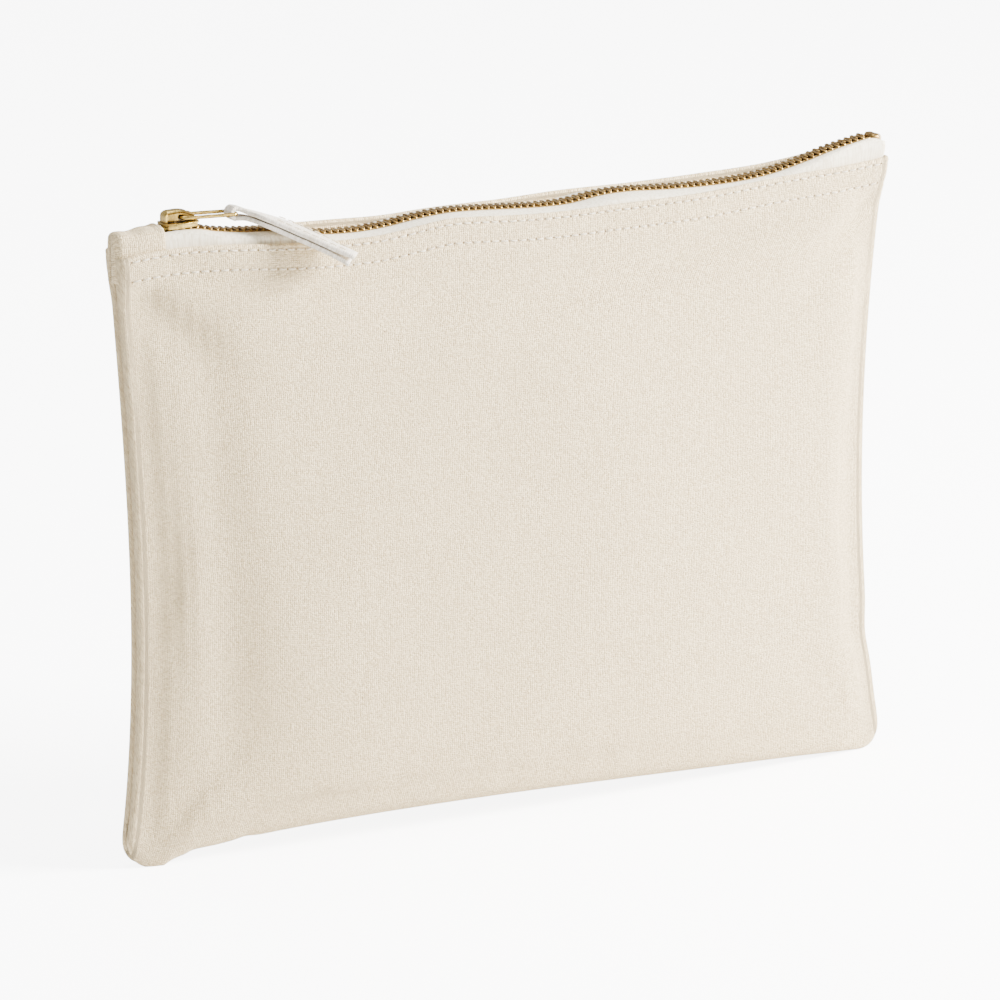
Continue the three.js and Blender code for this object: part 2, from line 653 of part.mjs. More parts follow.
const pouch = new THREE.Group();
function add(name, geometry, look, parent = pouch) {
  const mesh = new THREE.Mesh(geometry, look);
  mesh.name = name;
  parent.add(mesh);
  return mesh;
}

// The tab stands out in front, so the middle of the whole footprint is in front of the zip's middle.
const frontReach = -TAB_REACH.y + TAB_WIDE / 2;
pouch.position.y = (frontReach - SEAM_HALF - BELLY_DEPTH) / 2;

const SIDES = { front: -1, back: 1 };
for (const [name, side] of Object.entries(SIDES)) {
  add(`${name}_panel`, panel(side), canvas);
  add(`zip_tape_${name}`, tape(side), cotton);
  add(`zip_teeth_${name}`, teeth(side), brass);
  add(`top_stop_${name}`, topStop(side), brass);
  for (const [row, drop] of Object.entries(TOPSTITCH_DROPS)) {
    add(`${name}_topstitch_${row}`, topstitch(side, drop), thread);
  }
}
for (const where of SEAMS) {
  add(`${where}_seam_thread`, seamThread(where), thread);
  add(`${where}_seam_overlock`, overlock(where), thread);
}
add("zip_end_cover", endCover(), canvas);
add("bottom_stop", bottomStop(), brass);
add("slider_body", sliderBody(), brightBrass);
add("slider_cap", sliderCap(), brightBrass);
add("slider_lock_spring", lockSpring(), brightBrass);

const pull = new THREE.Group();
pull.position.set(SLIDER_PARK, 0, pivotZ);
pouch.add(pull);
const link = add("pull_link", pullLink(), brightBrass, pull);
link.rotation.y = LINK_DIP;
const farBar = new THREE.Group();
farBar.position.set(LINK_LENGTH * Math.cos(LINK_DIP), 0, -LINK_LENGTH * Math.sin(LINK_DIP));
pull.add(farBar);
add("pull_tab", pullTab(), canvas, farBar);
add("tab_tack", tabTack(), thread, farBar);

export default pouch;
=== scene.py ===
# %% [markdown]
# # A zippered canvas pouch
# A flat pouch is two panels of heavy undyed cotton, seamed down both sides and along the bottom, with a brass zip
# sewn into its folded top edge. The pieces are built here one at a time, around the engineering model that gives
# their places and joints, so that the zip still runs.

import json
import math

import bmesh
import bpy
import numpy as np
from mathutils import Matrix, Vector


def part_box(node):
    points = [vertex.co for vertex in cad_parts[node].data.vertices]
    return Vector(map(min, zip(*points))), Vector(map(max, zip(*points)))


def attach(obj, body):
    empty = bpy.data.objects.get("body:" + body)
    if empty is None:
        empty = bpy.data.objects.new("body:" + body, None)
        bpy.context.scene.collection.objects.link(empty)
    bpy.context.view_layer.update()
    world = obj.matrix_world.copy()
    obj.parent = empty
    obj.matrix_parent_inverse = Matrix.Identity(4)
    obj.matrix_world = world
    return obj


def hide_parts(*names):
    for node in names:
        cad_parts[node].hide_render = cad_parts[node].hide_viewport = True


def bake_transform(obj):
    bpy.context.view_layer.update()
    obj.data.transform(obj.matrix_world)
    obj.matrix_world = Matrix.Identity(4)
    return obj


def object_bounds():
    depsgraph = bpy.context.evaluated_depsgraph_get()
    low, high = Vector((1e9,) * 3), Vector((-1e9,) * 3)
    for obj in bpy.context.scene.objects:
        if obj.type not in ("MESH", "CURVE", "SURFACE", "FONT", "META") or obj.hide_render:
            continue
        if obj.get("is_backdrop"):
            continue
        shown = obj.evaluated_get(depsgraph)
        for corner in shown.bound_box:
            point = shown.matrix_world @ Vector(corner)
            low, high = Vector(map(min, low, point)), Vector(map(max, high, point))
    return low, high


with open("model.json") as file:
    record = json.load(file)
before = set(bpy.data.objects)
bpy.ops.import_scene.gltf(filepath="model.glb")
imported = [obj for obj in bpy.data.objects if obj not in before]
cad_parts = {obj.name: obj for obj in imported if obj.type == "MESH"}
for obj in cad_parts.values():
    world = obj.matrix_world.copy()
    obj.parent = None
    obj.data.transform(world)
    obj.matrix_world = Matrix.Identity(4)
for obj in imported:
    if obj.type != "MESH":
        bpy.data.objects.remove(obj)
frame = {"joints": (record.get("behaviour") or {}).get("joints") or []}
cad_box = [list(corner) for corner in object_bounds()]
print("box of the frame, in metres:", cad_box)

# %% [markdown]
# The panels and the zip are laid out in millimetres from the seam plane, where the two panels meet. The frame says
# where that plane is, how wide and high the pouch is, and where the slider and the link stand, so each of those
# values is read from it once and everything else is tied to them.

# %% Sizes
MM = 0.001


def cad(node):
    """Lowest and highest corner of a node of the frame, in millimetres."""
    low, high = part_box(node)
    return np.array(low) / MM, np.array(high) / MM


panel_low, panel_high = cad("front_panel")
SEAM_HALF = 0.5  # half the gap between the panels in a seam
SEAM_Y = panel_high[1] + SEAM_HALF
HALF_WIDTH = (panel_high[0] - panel_low[0]) / 2
HEIGHT = round(panel_high[2])
BELLY = SEAM_Y - panel_low[1]
CLOTH = 0.8
HEM = 12.0
SIDE_ROLL = 1.4
SEAM_CLOSED = 0.38  # half the gap that sewing leaves between the panels at a seam
BASE_ROLL = 4.5
ALLOWANCE = 10.0
STITCH_DROPS = (1.2, 6.8)
STITCH_PITCH = 2.9
print("seam plane at y", round(SEAM_Y, 3), "half width", round(HALF_WIDTH, 2), "height", HEIGHT)

# %% [markdown]
# The camera comes first. The pouch is seen from its left front, a little from above, with a long lens, so its
# upright edges stay nearly parallel. The small shifts put it where it belongs in the frame without turning it.

# %% Camera
AZIMUTH, ELEVATION, ROLL = -28.9, 15.1, 0.25
DISTANCE = 2.725
AIM = Vector((0.0, SEAM_Y * MM, 0.09))
camera_data = bpy.data.cameras.new("camera")
camera_data.sensor_width = 36.0
camera_data.lens = 343.0
camera_data.shift_x = -0.0102
camera_data.shift_y = 0.0024
camera_data.clip_start, camera_data.clip_end = 0.05, 50.0
camera = bpy.data.objects.new("camera", camera_data)
bpy.context.scene.collection.objects.link(camera)
turn, tilt = math.radians(AZIMUTH), math.radians(ELEVATION)
away = Vector((math.sin(turn) * math.cos(tilt), -math.cos(turn) * math.cos(tilt), math.sin(tilt)))
camera.location = AIM + away * DISTANCE
camera.rotation_euler = (-away).to_track_quat("-Z", "Y").to_euler()
camera.rotation_euler.rotate_axis("Z", math.radians(-ROLL))
bpy.context.scene.camera = camera
print("camera at", [round(v, 3) for v in camera.location])

# %% [markdown]
# Pale cotton on a pale floor needs soft light, or it burns out. One broad light stands to the right and a little in
# front, because cloth shows its folds and weave when light crosses it. A wider, weaker one fills the left side, and
# one overhead lifts the mouth and the zip.

# %% Light and floor
FLOOR_REACH = 6.0


def soft_light(name, size, power, at, tint=(1.0, 1.0, 1.0)):
    """A square light that faces the pouch."""
    data = bpy.data.lights.new(name, "AREA")
    data.shape = "SQUARE"
    data.size = size
    data.energy = power
    data.color = tint
    light = bpy.data.objects.new(name, data)
    bpy.context.scene.collection.objects.link(light)
    light.location = at
    light.rotation_euler = (Vector((0, 0, 0.09)) - Vector(at)).to_track_quat("-Z", "Y").to_euler()
    return light


KEY, FILL, TOP = 125.0, 7.0, 32.0
soft_light("key", 0.55, KEY, (1.1, -0.62, 0.62), (1.0, 0.99, 0.975))
soft_light("fill", 1.6, FILL, (-1.7, -1.3, 0.8), (0.97, 0.985, 1.0))
soft_light("top", 1.2, TOP, (0.1, 0.35, 1.9))
SKY = 0.66
BACKDROP_GLOW = 9.0  # how bright the lit backdrop looks behind the pouch
world = bpy.data.worlds.new("studio")
world.use_nodes = True
sky = world.node_tree.nodes["Background"]
sky.inputs["Color"].default_value = (1.0, 1.0, 1.0, 1.0)
ray = world.node_tree.nodes.new("ShaderNodeLightPath")
glow = world.node_tree.nodes.new("ShaderNodeMapRange")
glow.inputs["To Min"].default_value = SKY
glow.inputs["To Max"].default_value = BACKDROP_GLOW
world.node_tree.links.new(ray.outputs["Is Camera Ray"], glow.inputs["Value"])
world.node_tree.links.new(glow.outputs["Result"], sky.inputs["Strength"])
bpy.context.scene.world = world

# %% [markdown]
# Every piece below ends as one mesh with a `cloth` attribute: where each point lay before it was bent, in metres.
# Weave and flecks are placed by it, so they follow the cloth round its folds. A grid of points is the easiest start
# for cloth, wire and thread alike.

# %% Mesh helpers
def to_frame(points):
    """Millimetres from the seam plane, as metres in the frame."""
    return (np.asarray(points, float) + (0.0, SEAM_Y, 0.0)) * MM


def smooth(t):
    t = np.clip(t, 0.0, 1.0)
    return t * t * (3 - 2 * t)


def ramp(value, start, end):
    return smooth((np.asarray(value, float) - start) / (end - start))


def bump(value, middle, width):
    return np.exp(-(((np.asarray(value, float) - middle) / width) ** 2))


def unit(v):
    return v / np.maximum(np.linalg.norm(v, axis=-1, keepdims=True), 1e-12)


def through(points):
    """A smooth function through (x, value) pairs."""
    xs, ys = np.array(points, float).T
    slopes = np.gradient(ys, xs)

    def value(x):
        x = np.clip(np.asarray(x, float), xs[0], xs[-1])
        k = np.clip(np.searchsorted(xs, x) - 1, 0, len(xs) - 2)
        h = xs[k + 1] - xs[k]
        t = (x - xs[k]) / h
        a, b = 2 * t**3 - 3 * t**2 + 1, t**3 - 2 * t**2 + t
        c, d = -2 * t**3 + 3 * t**2, t**3 - t**2
        return a * ys[k] + b * h * slopes[k] + c * ys[k + 1] + d * h * slopes[k + 1]

    return value


def quads_between(rows, columns, close_rows=False, close_columns=False):
    """Faces of a grid of points numbered row by row."""
    i = np.arange(rows if close_rows else rows - 1)
    j = np.arange(columns if close_columns else columns - 1)
    i, j = (g.ravel() for g in np.meshgrid(i, j, indexing="ij"))
    i2, j2 = (i + 1) % rows, (j + 1) % columns
    return np.stack([i * columns + j, i2 * columns + j, i2 * columns + j2, i * columns + j2], 1)


def grid_normals(grid):
    along = np.gradient(grid, axis=0)
    across = np.gradient(grid, axis=1)
    return unit(np.cross(along, across))


def shell(middle, thick, cloth=None):
    """A closed sheet: points and faces, `thick` deep, on both sides of a grid of middle points."""
    rows, columns, _ = middle.shape
    push = grid_normals(middle) * (np.broadcast_to(thick, (rows, columns))[..., None] / 2)
    points = np.concatenate([(middle + push).reshape(-1, 3), (middle - push).reshape(-1, 3)])
    face = quads_between(rows, columns)
    count = rows * columns
    rim = np.concatenate(
        [
            np.arange(columns),
            np.arange(1, rows) * columns + columns - 1,
            (rows - 1) * columns + np.arange(columns - 2, -1, -1),
            np.arange(rows - 2, 0, -1) * columns,
        ]
    )
    after = np.roll(rim, -1)
    edge = np.stack([rim, after, after + count, rim + count], 1)
    cloth = middle if cloth is None else cloth
    both = np.concatenate([cloth.reshape(-1, 3)] * 2)
    return points, np.concatenate([face, face[:, ::-1] + count, edge]), both


def loft(sections):
    """A closed solid through rings of points, with flat ends."""
    rings = np.asarray(sections, float)
    rows, columns, _ = rings.shape
    points = np.concatenate([rings.reshape(-1, 3), rings[0].mean(0)[None], rings[-1].mean(0)[None]])
    faces = quads_between(rows, columns, close_columns=True)
    j = np.arange(columns)
    k = (j + 1) % columns
    first, last = rows * columns, rows * columns + 1
    caps = [np.stack([j, k, np.full(columns, first)], 1)]
    base = (rows - 1) * columns
    caps.append(np.stack([base + k, base + j, np.full(columns, last)], 1))
    return points, faces, np.concatenate(caps)


def tube(path, radius, sides=8, closed=False, up=(0.0, 0.0, 1.0)):
    """A round wire or thread along a path, with flat ends if it isn't closed."""
    path = np.asarray(path, float)
    if closed:
        ahead = np.roll(path, -1, 0) - np.roll(path, 1, 0)
    else:
        ahead = np.gradient(path, axis=0)
    ahead = unit(ahead)
    side = unit(np.cross(ahead, np.broadcast_to(up, path.shape)))
    over = np.cross(side, ahead)
    angle = np.arange(sides) * 2 * math.pi / sides
    size = np.broadcast_to(radius, (len(path),))[:, None, None]
    ring = side[:, None] * np.cos(angle)[None, :, None] + over[:, None] * np.sin(angle)[None, :, None]
    rings = path[:, None] + ring * size
    if closed:
        return rings.reshape(-1, 3), quads_between(len(path), sides, True, True), None
    return loft(rings)


def capsule(start, end, radius, sides=6, lift=0.0, normal=(0.0, -1.0, 0.0)):
    """A rounded length of thread from start to end, bowed out along normal by `lift`."""
    t = np.array([0.0, 0.06, 0.2, 0.5, 0.8, 0.94, 1.0])
    size = radius * np.array([0.35, 0.75, 1.0, 1.05, 1.0, 0.75, 0.35])
    path = np.outer(1 - t, start) + np.outer(t, end)
    path += np.outer(np.sin(math.pi * t) * lift, normal)
    return tube(path, size, sides, up=normal)


class Piece:
    """Collects points and faces, and turns them into one object."""

    def __init__(self, name):
        self.name, self.points, self.faces, self.cloth, self.count = name, [], [], [], 0

    def add(self, points, faces, more=None, cloth=None):
        points = to_frame(points)
        self.points.append(points)
        self.cloth.append(points if cloth is None else np.asarray(cloth, float) * MM)
        for group in (faces, more):
            if group is not None and len(group):
                self.faces.append(np.asarray(group) + self.count)
        self.count += len(points)
        return self

    def shell(self, middle, thick, cloth=None):
        points, faces, cloth = shell(middle, thick, cloth)
        return self.add(points, faces, cloth=cloth)

    def make(self, material, body, slot, replaces=()):
        mesh = bpy.data.meshes.new(self.name)
        faces = [face.tolist() for face in self.faces]
        mesh.from_pydata(np.concatenate(self.points).tolist(), [], [f for g in faces for f in g])
        place = mesh.attributes.new("cloth", "FLOAT_VECTOR", "POINT")
        place.data.foreach_set("vector", np.concatenate(self.cloth).ravel().astype(np.float32))
        mesh.polygons.foreach_set("use_smooth", [True] * len(mesh.polygons))
        mesh.materials.append(material)
        mesh.validate()
        fix_outside(mesh)
        item = bpy.data.objects.new(self.name, mesh)
        bpy.context.scene.collection.objects.link(item)
        if replaces:
            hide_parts(*replaces)
        if body:
            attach(item, body)
        print(f"{self.name}: {len(mesh.polygons)} faces")
        return item


def fix_outside(mesh):
    """Turns each closed part's faces outward."""
    work = bmesh.new()
    work.from_mesh(mesh)
    bmesh.ops.recalc_face_normals(work, faces=work.faces)
    work.to_mesh(mesh)
    work.free()


def soften(item, width, segments=2, angle=35.0):
    """Rounds a hard piece's edges."""
    bevel = item.modifiers.new("rounded edges", "BEVEL")
    bevel.width = width * MM
    bevel.segments = segments
    bevel.limit_method = "ANGLE"
    bevel.angle_limit = math.radians(angle)
    bevel.harden_normals = False
    return item


# %% [markdown]
# A material is a small tree of nodes. Canvas, tape, tab and brass share a few effects, so each effect is a group that
# is built once: a plain weave, flecks and slubs in the cotton, soft mottling, needle holes along a stitched row, and
# the dull film, grain and dents of brass. This wrapper keeps the wiring of a tree short.


# %% Node helpers
class Wiring:
    def __init__(self, tree):
        self.tree = tree

    def node(self, kind, *inputs, named=None, **settings):
        node = self.tree.nodes.new(kind)
        for key, value in settings.items():
            setattr(node, key, value)
        for key, value in [*enumerate(inputs), *(named or {}).items()]:
            if isinstance(value, bpy.types.NodeSocket):
                self.tree.links.new(value, node.inputs[key])
            elif value is not None:
                node.inputs[key].default_value = value
        return node

    def math(self, operation, *values, clamp=False):
        return self.node("ShaderNodeMath", *values, operation=operation, use_clamp=clamp).outputs[0]

    def vector(self, operation, *values):
        return self.node("ShaderNodeVectorMath", *values, operation=operation).outputs[0]

    def noise(self, place, scale, detail=2.0, roughness=0.5):
        named = {"Vector": place, "Scale": scale, "Detail": detail, "Roughness": roughness}
        return self.node("ShaderNodeTexNoise", named=named).outputs[0]

    def between(self, value, low, high, to_low=0.0, to_high=1.0):
        named = {"Value": value, "From Min": low, "From Max": high, "To Min": to_low, "To Max": to_high}
        kind = {"interpolation_type": "SMOOTHSTEP", "clamp": True}
        return self.node("ShaderNodeMapRange", named=named, **kind).outputs["Result"]

    def mix(self, factor, a, b, blend="MIX"):
        node = self.node("ShaderNodeMix", data_type="RGBA", blend_type=blend, clamp_factor=True)
        for socket, value in zip((node.inputs[0], node.inputs[6], node.inputs[7]), (factor, a, b)):
            if isinstance(value, bpy.types.NodeSocket):
                self.tree.links.new(value, socket)
            elif isinstance(value, tuple):
                socket.default_value = (*value, 1.0)
            else:
                socket.default_value = value
        return node.outputs[2]


def effect(name, inputs, outputs, build):
    """A node group. `inputs` gives (name, kind, default); `build` returns a value for each output name."""
    tree = bpy.data.node_groups.new(name, "ShaderNodeTree")
    for label, kind, default in inputs:
        socket = tree.interface.new_socket(label, in_out="INPUT", socket_type=kind)
        if default is not None:
            socket.default_value = default
    for label in outputs:
        tree.interface.new_socket(label, in_out="OUTPUT", socket_type="NodeSocketFloat")
    wiring = Wiring(tree)
    given = tree.nodes.new("NodeGroupInput").outputs
    end = tree.nodes.new("NodeGroupOutput")
    for label, value in build(wiring, given).items():
        tree.links.new(value, end.inputs[label])
    return tree


FLOAT, VECTOR = "NodeSocketFloat", "NodeSocketVector"
print("node helpers ready")

# %% [markdown]
# Plain weave: each warp thread goes over one weft thread and under the next. Across a thread the height is half a
# wave, and along it another wave lifts the thread where it passes over. The higher of the two sets shows. Real yarn
# is never even, so the coordinates wander a little before they are used.


# %% Weave group
def build_weave(w, given):
    wander = w.noise(given["Place"], 220.0, 3.0, 0.6)
    drift = w.noise(given["Place"], 31.0, 2.0, 0.5)
    push = w.math("ADD", w.math("MULTIPLY", w.math("SUBTRACT", wander, 0.5), given["Unevenness"]),
                  w.math("MULTIPLY", w.math("SUBTRACT", drift, 0.5), 1.6))
    parts = w.node("ShaderNodeSeparateXYZ", given["Place"]).outputs
    u = w.math("ADD", w.math("DIVIDE", parts["X"], given["Pitch"]), push)
    v = w.math("SUBTRACT", w.math("DIVIDE", parts["Y"], given["Pitch"]), push)
    set_heights = []
    for across, along, sign in ((u, v, 0.5), (v, u, -0.5)):
        ridge = w.math("ABSOLUTE", w.math("SINE", w.math("MULTIPLY", across, math.pi)))
        step = w.math("ADD", w.math("SUBTRACT", along, 0.5), w.math("FLOOR", across))
        wave = w.math("COSINE", w.math("MULTIPLY", step, math.pi))
        lift = w.math("ADD", w.math("MULTIPLY", wave, sign), 0.5)
        set_heights.append(w.math("MULTIPLY", w.math("POWER", ridge, 0.6), lift))
    height = w.math("MAXIMUM", *set_heights)
    # painted shade: a mask of the low places between yarns, which the cloth material darkens as if shaded
    gap = w.between(height, 0.42, 0.12)
    yarn = w.noise(w.node("ShaderNodeCombineXYZ", w.math("MULTIPLY", u, 0.12), v, 0.0).outputs[0], 1.0, 1.0)
    pick = w.noise(w.node("ShaderNodeCombineXYZ", u, w.math("MULTIPLY", v, 0.12), 3.0).outputs[0], 1.0, 1.0)
    return {"Height": height, "Gap": gap, "Yarn": w.math("MULTIPLY", w.math("ADD", yarn, pick), 0.5)}


weave_group = effect(
    "plain weave",
    [("Place", VECTOR, None), ("Pitch", FLOAT, 0.00056), ("Unevenness", FLOAT, 0.9)],
    ("Height", "Gap", "Yarn"),
    build_weave,
)
print("group:", weave_group.name)

# %% [markdown]
# Undyed cotton keeps specks of seed husk and slubs, the thicker places in a yarn. A fine noise with only its peaks
# kept gives the specks, and a noise stretched along the yarn gives the slubs. Mottling is the broad, faint change in
# tone that cloth has from handling.


# %% Fleck and mottle groups
def build_flecks(w, given):
    cells = w.noise(given["Place"], 900.0, 1.0, 0.5)
    area = w.noise(w.vector("ADD", given["Place"], (3.1, 1.7, 0.0)), 70.0, 2.0, 0.5)
    speck = w.math("MULTIPLY", w.between(cells, 0.73, 0.8), w.between(area, 0.5, 0.62))
    long = w.vector("MULTIPLY", given["Place"], (260.0, 1500.0, 200.0))
    slub = w.between(w.noise(long, 1.0, 1.0), 0.66, 0.8)
    tall = w.vector("MULTIPLY", given["Place"], (1500.0, 200.0, 200.0))
    slub = w.math("MAXIMUM", slub, w.between(w.noise(tall, 1.0, 1.0), 0.68, 0.82))
    return {"Fleck": w.math("MULTIPLY", speck, given["Amount"]), "Slub": slub}


def build_mottle(w, given):
    broad = w.noise(given["Place"], 14.0, 3.0, 0.55)
    fine = w.noise(given["Place"], 1350.0, 2.0, 0.6)
    return {
        "Broad": w.between(broad, 0.3, 0.7),
        "Fine": w.between(fine, 0.36, 0.70),
    }


fleck_group = effect(
    "cotton flecks", [("Place", VECTOR, None), ("Amount", FLOAT, 1.0)], ("Fleck", "Slub"), build_flecks
)
mottle_group = effect("mottling", [("Place", VECTOR, None)], ("Broad", "Fine"), build_mottle)
print("groups:", fleck_group.name, "and", mottle_group.name)

# %% [markdown]
# Brass dulls in its hollows and shines where fingers and cloth rub it. Here the film is laid in patches by a broad
# noise, not by the shape, and a finer noise gives the small dents and casting grain.


# %% Brass group
def build_brass(w, given):
    film = w.noise(given["Place"], given["Film scale"], 4.0, 0.62)
    grain = w.noise(given["Place"], 2600.0, 3.0, 0.6)
    dents = w.noise(given["Place"], 700.0, 2.0, 0.5)
    return {
        "Film": w.between(film, 0.4, 0.68),
        "Grain": grain,
        "Dents": w.between(dents, 0.35, 0.7),
    }


brass_group = effect(
    "brass film",
    [("Place", VECTOR, None), ("Film scale", FLOAT, 260.0)],
    ("Film", "Grain", "Dents"),
    build_brass,
)
print("group:", brass_group.name)


# %% [markdown]
# Canvas, tab, zip tape and sewing thread are all cotton, so one function makes the four materials from the groups
# above. Each has its own colours, yarn spacing and yarn depth. They could be four separate trees of nodes, but then
# every change to the cotton would have to be made four times.


# %% Cloth materials
def start_material(name):
    material = bpy.data.materials.new(name)
    material.use_nodes = True
    w = Wiring(material.node_tree)
    shader = material.node_tree.nodes["Principled BSDF"]
    place = w.node("ShaderNodeAttribute", attribute_name="cloth").outputs["Vector"]
    return material, w, shader, place


def link(w, value, socket):
    w.tree.links.new(value, socket)


def cloth_material(name, base, deep, fleck, pitch, depth, flecks=1.0, rows=False, uneven=0.9, grain=0.5):
    """Woven cotton. `deep` is the colour of the painted shade in the gaps of the weave, `depth` the relief in metres.
    """
    material, w, shader, place = start_material(name)
    weave = w.node("ShaderNodeGroup", node_tree=weave_group)
    specks = w.node("ShaderNodeGroup", node_tree=fleck_group)
    tone = w.node("ShaderNodeGroup", node_tree=mottle_group)
    for group in (weave, specks, tone):
        link(w, place, group.inputs["Place"])
    weave.inputs["Pitch"].default_value = pitch
    weave.inputs["Unevenness"].default_value = uneven
    specks.inputs["Amount"].default_value = flecks
    light = tuple(min(1.0, c * 1.045) for c in base)
    colour = w.mix(weave.outputs["Yarn"], base, light)
    colour = w.mix(w.math("MULTIPLY", tone.outputs["Broad"], 0.35), colour, tuple(c * 0.95 for c in base))
    shade = tuple(c * k for c, k in zip(base, (0.54, 0.45, 0.33)))
    colour = w.mix(w.math("MULTIPLY", tone.outputs["Fine"], grain), colour, shade)
    # painted shade: the gaps of the weave are darkened to the gap colour
    colour = w.mix(w.math("MULTIPLY", weave.outputs["Gap"], 0.8), colour, deep)
    colour = w.mix(w.math("MULTIPLY", specks.outputs["Slub"], 0.4), colour, light)
    colour = w.mix(w.math("MULTIPLY", specks.outputs["Fleck"], 0.75), colour, fleck)
    height = w.math("ADD", w.math("MULTIPLY", weave.outputs["Height"], 0.7),
                    w.math("MULTIPLY", specks.outputs["Slub"], 0.45))
    height = w.math("ADD", height, w.math("MULTIPLY", tone.outputs["Fine"], 0.6))
    if rows:
        hole = needle_holes(w, place)
        # painted shade: the canvas is darkened in the needle holes, which the bump below also presses in
        colour = w.mix(w.math("MULTIPLY", hole, 0.75), colour, (0.30, 0.17, 0.07))
        height = w.math("SUBTRACT", height, w.math("MULTIPLY", hole, 2.0))
    link(w, colour, shader.inputs["Base Color"])
    rough = w.between(weave.outputs["Height"], 0.0, 1.0, 0.95, 0.84)
    link(w, rough, shader.inputs["Roughness"])
    relief = w.node("ShaderNodeBump", named={"Strength": 1.0, "Distance": depth, "Height": height})
    link(w, relief.outputs["Normal"], shader.inputs["Normal"])
    shader.inputs["Sheen Weight"].default_value = 0.12
    shader.inputs["Sheen Roughness"].default_value = 0.6
    shader.inputs["Specular IOR Level"].default_value = 0.2
    return material


def needle_holes(w, place):
    """A mask that is 1 in the holes of the two stitch rows, where the canvas gets painted shade and a dip. The third
    number of `place` is the drop from the fold.
    """
    parts = w.node("ShaderNodeSeparateXYZ", place).outputs
    pitch = STITCH_PITCH * MM
    along = w.math("SUBTRACT", w.math("MODULO", w.math("ADD", parts["X"], 400.5 * pitch), pitch), pitch / 2)
    nearest = None
    for drop in STITCH_DROPS:
        off = w.math("SUBTRACT", parts["Z"], drop * MM)
        far = w.math("SQRT", w.math("ADD", w.math("MULTIPLY", along, along), w.math("MULTIPLY", off, off)))
        nearest = far if nearest is None else w.math("MINIMUM", nearest, far)
    return w.between(nearest, 0.00042, 0.0002)


# the second colour of each is the painted shade in the gaps of its weave
canvas = cloth_material(
    "undyed canvas", (0.87, 0.705, 0.425), (0.27, 0.16, 0.06), (0.20, 0.09, 0.03), 0.00060, 0.00036, rows=True,
    grain=0.6,
)
tab_canvas = cloth_material(
    "tab canvas", (0.93, 0.86, 0.74), (0.38, 0.26, 0.14), (0.24, 0.12, 0.04), 0.00062, 0.00016, flecks=0.6
)
tape_cotton = cloth_material(
    "zip tape", (0.90, 0.83, 0.66), (0.58, 0.49, 0.32), (0.36, 0.24, 0.12), 0.00036, 0.00005, flecks=0.25
)
thread_cotton = cloth_material(
    "sewing thread", (0.88, 0.78, 0.60), (0.42, 0.29, 0.16), (0.36, 0.24, 0.12), 0.00030, 0.00005, flecks=0.3
)
print("cloth materials:", canvas.name, tab_canvas.name, tape_cotton.name, thread_cotton.name)


# %% [markdown]
# Teeth, slider and link are one metal under more or less of the brown film that old brass carries. The film is mixed
# over the bright colour by the group's mask, so the metal isn't one even gold, which would look painted.


# %% Brass materials
def brass_material(name, bright, film, rough, film_scale, film_share):
    material, w, shader, place = start_material(name)
    group = w.node("ShaderNodeGroup", node_tree=brass_group)
    link(w, place, group.inputs["Place"])
    group.inputs["Film scale"].default_value = film_scale
    mask = w.math("MULTIPLY", group.outputs["Film"], film_share)
    colour = w.mix(mask, bright, film)
    colour = w.mix(w.math("MULTIPLY", group.outputs["Dents"], 0.25), colour, tuple(c * 0.6 for c in film))
    link(w, colour, shader.inputs["Base Color"])
    shader.inputs["Metallic"].default_value = 1.0
    link(w, w.between(mask, 0.0, 1.0, rough, min(1.0, rough + 0.28)), shader.inputs["Roughness"])
    height = w.math("ADD", w.math("MULTIPLY", group.outputs["Grain"], 0.4), group.outputs["Dents"])
    relief = w.node("ShaderNodeBump", named={"Strength": 0.35, "Distance": 0.00004, "Height": height})
    link(w, relief.outputs["Normal"], shader.inputs["Normal"])
    return material


tooth_brass = brass_material("antique brass", (0.36, 0.225, 0.07), (0.10, 0.052, 0.014), 0.32, 420.0, 0.75)
slider_brass = brass_material("slider brass", (0.52, 0.36, 0.10), (0.15, 0.085, 0.02), 0.24, 300.0, 0.7)
print("brass materials:", tooth_brass.name, slider_brass.name)

# %% [markdown]
# The floor is a plain pale sweep: flat under the pouch, and curving up far behind it, so that no horizon shows. It
# is part of the studio, not of the pouch.


# %% Floor
def make_floor():
    run = [(-FLOOR_REACH, 0.0), (2.2, 0.0)]
    run += [(2.2 + 1.8 * math.sin(a), 1.8 - 1.8 * math.cos(a)) for a in np.linspace(0.1, math.pi / 2, 14)]
    run.append((4.0, FLOOR_REACH))
    verts = [(side * FLOOR_REACH, y, z) for y, z in run for side in (-1, 1)]
    faces = [(2 * k, 2 * k + 1, 2 * k + 3, 2 * k + 2) for k in range(len(run) - 1)]
    mesh = bpy.data.meshes.new("floor")
    mesh.from_pydata(verts, [], faces)
    mesh.polygons.foreach_set("use_smooth", [True] * len(faces))
    floor = bpy.data.objects.new("floor", mesh)
    bpy.context.scene.collection.objects.link(floor)
    material = bpy.data.materials.new("studio floor")
    material.use_nodes = True
    w = Wiring(material.node_tree)
    shader = material.node_tree.nodes["Principled BSDF"]
    place = w.node("ShaderNodeTexCoord").outputs["Object"]
    speck = w.noise(place, 3.0, 2.0)
    link(w, w.mix(speck, (0.93, 0.93, 0.93), (0.95, 0.95, 0.95)), shader.inputs["Base Color"])
    shader.inputs["Roughness"].default_value = 1.0
    shader.inputs["Specular IOR Level"].default_value = 0.0
    shader.inputs["Emission Color"].default_value = (1.0, 1.0, 1.0, 1.0)
    seen = w.node("ShaderNodeLightPath").outputs["Is Camera Ray"]
    link(w, w.math("MULTIPLY", seen, BACKDROP_GLOW * 0.72), shader.inputs["Emission Strength"])
    mesh.materials.append(material)
    floor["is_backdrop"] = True
    return floor


make_floor()
print("floor made")

# %% [markdown]
# The pouch's outline is a few smooth curves. Its sides draw in a little at half height, because the filled middle
# pulls on them. The bottom edge arches between the two corners that it stands on. The folded edge and the row of
# teeth dip in the middle and rise to the upper corners, where the seams hold them up.

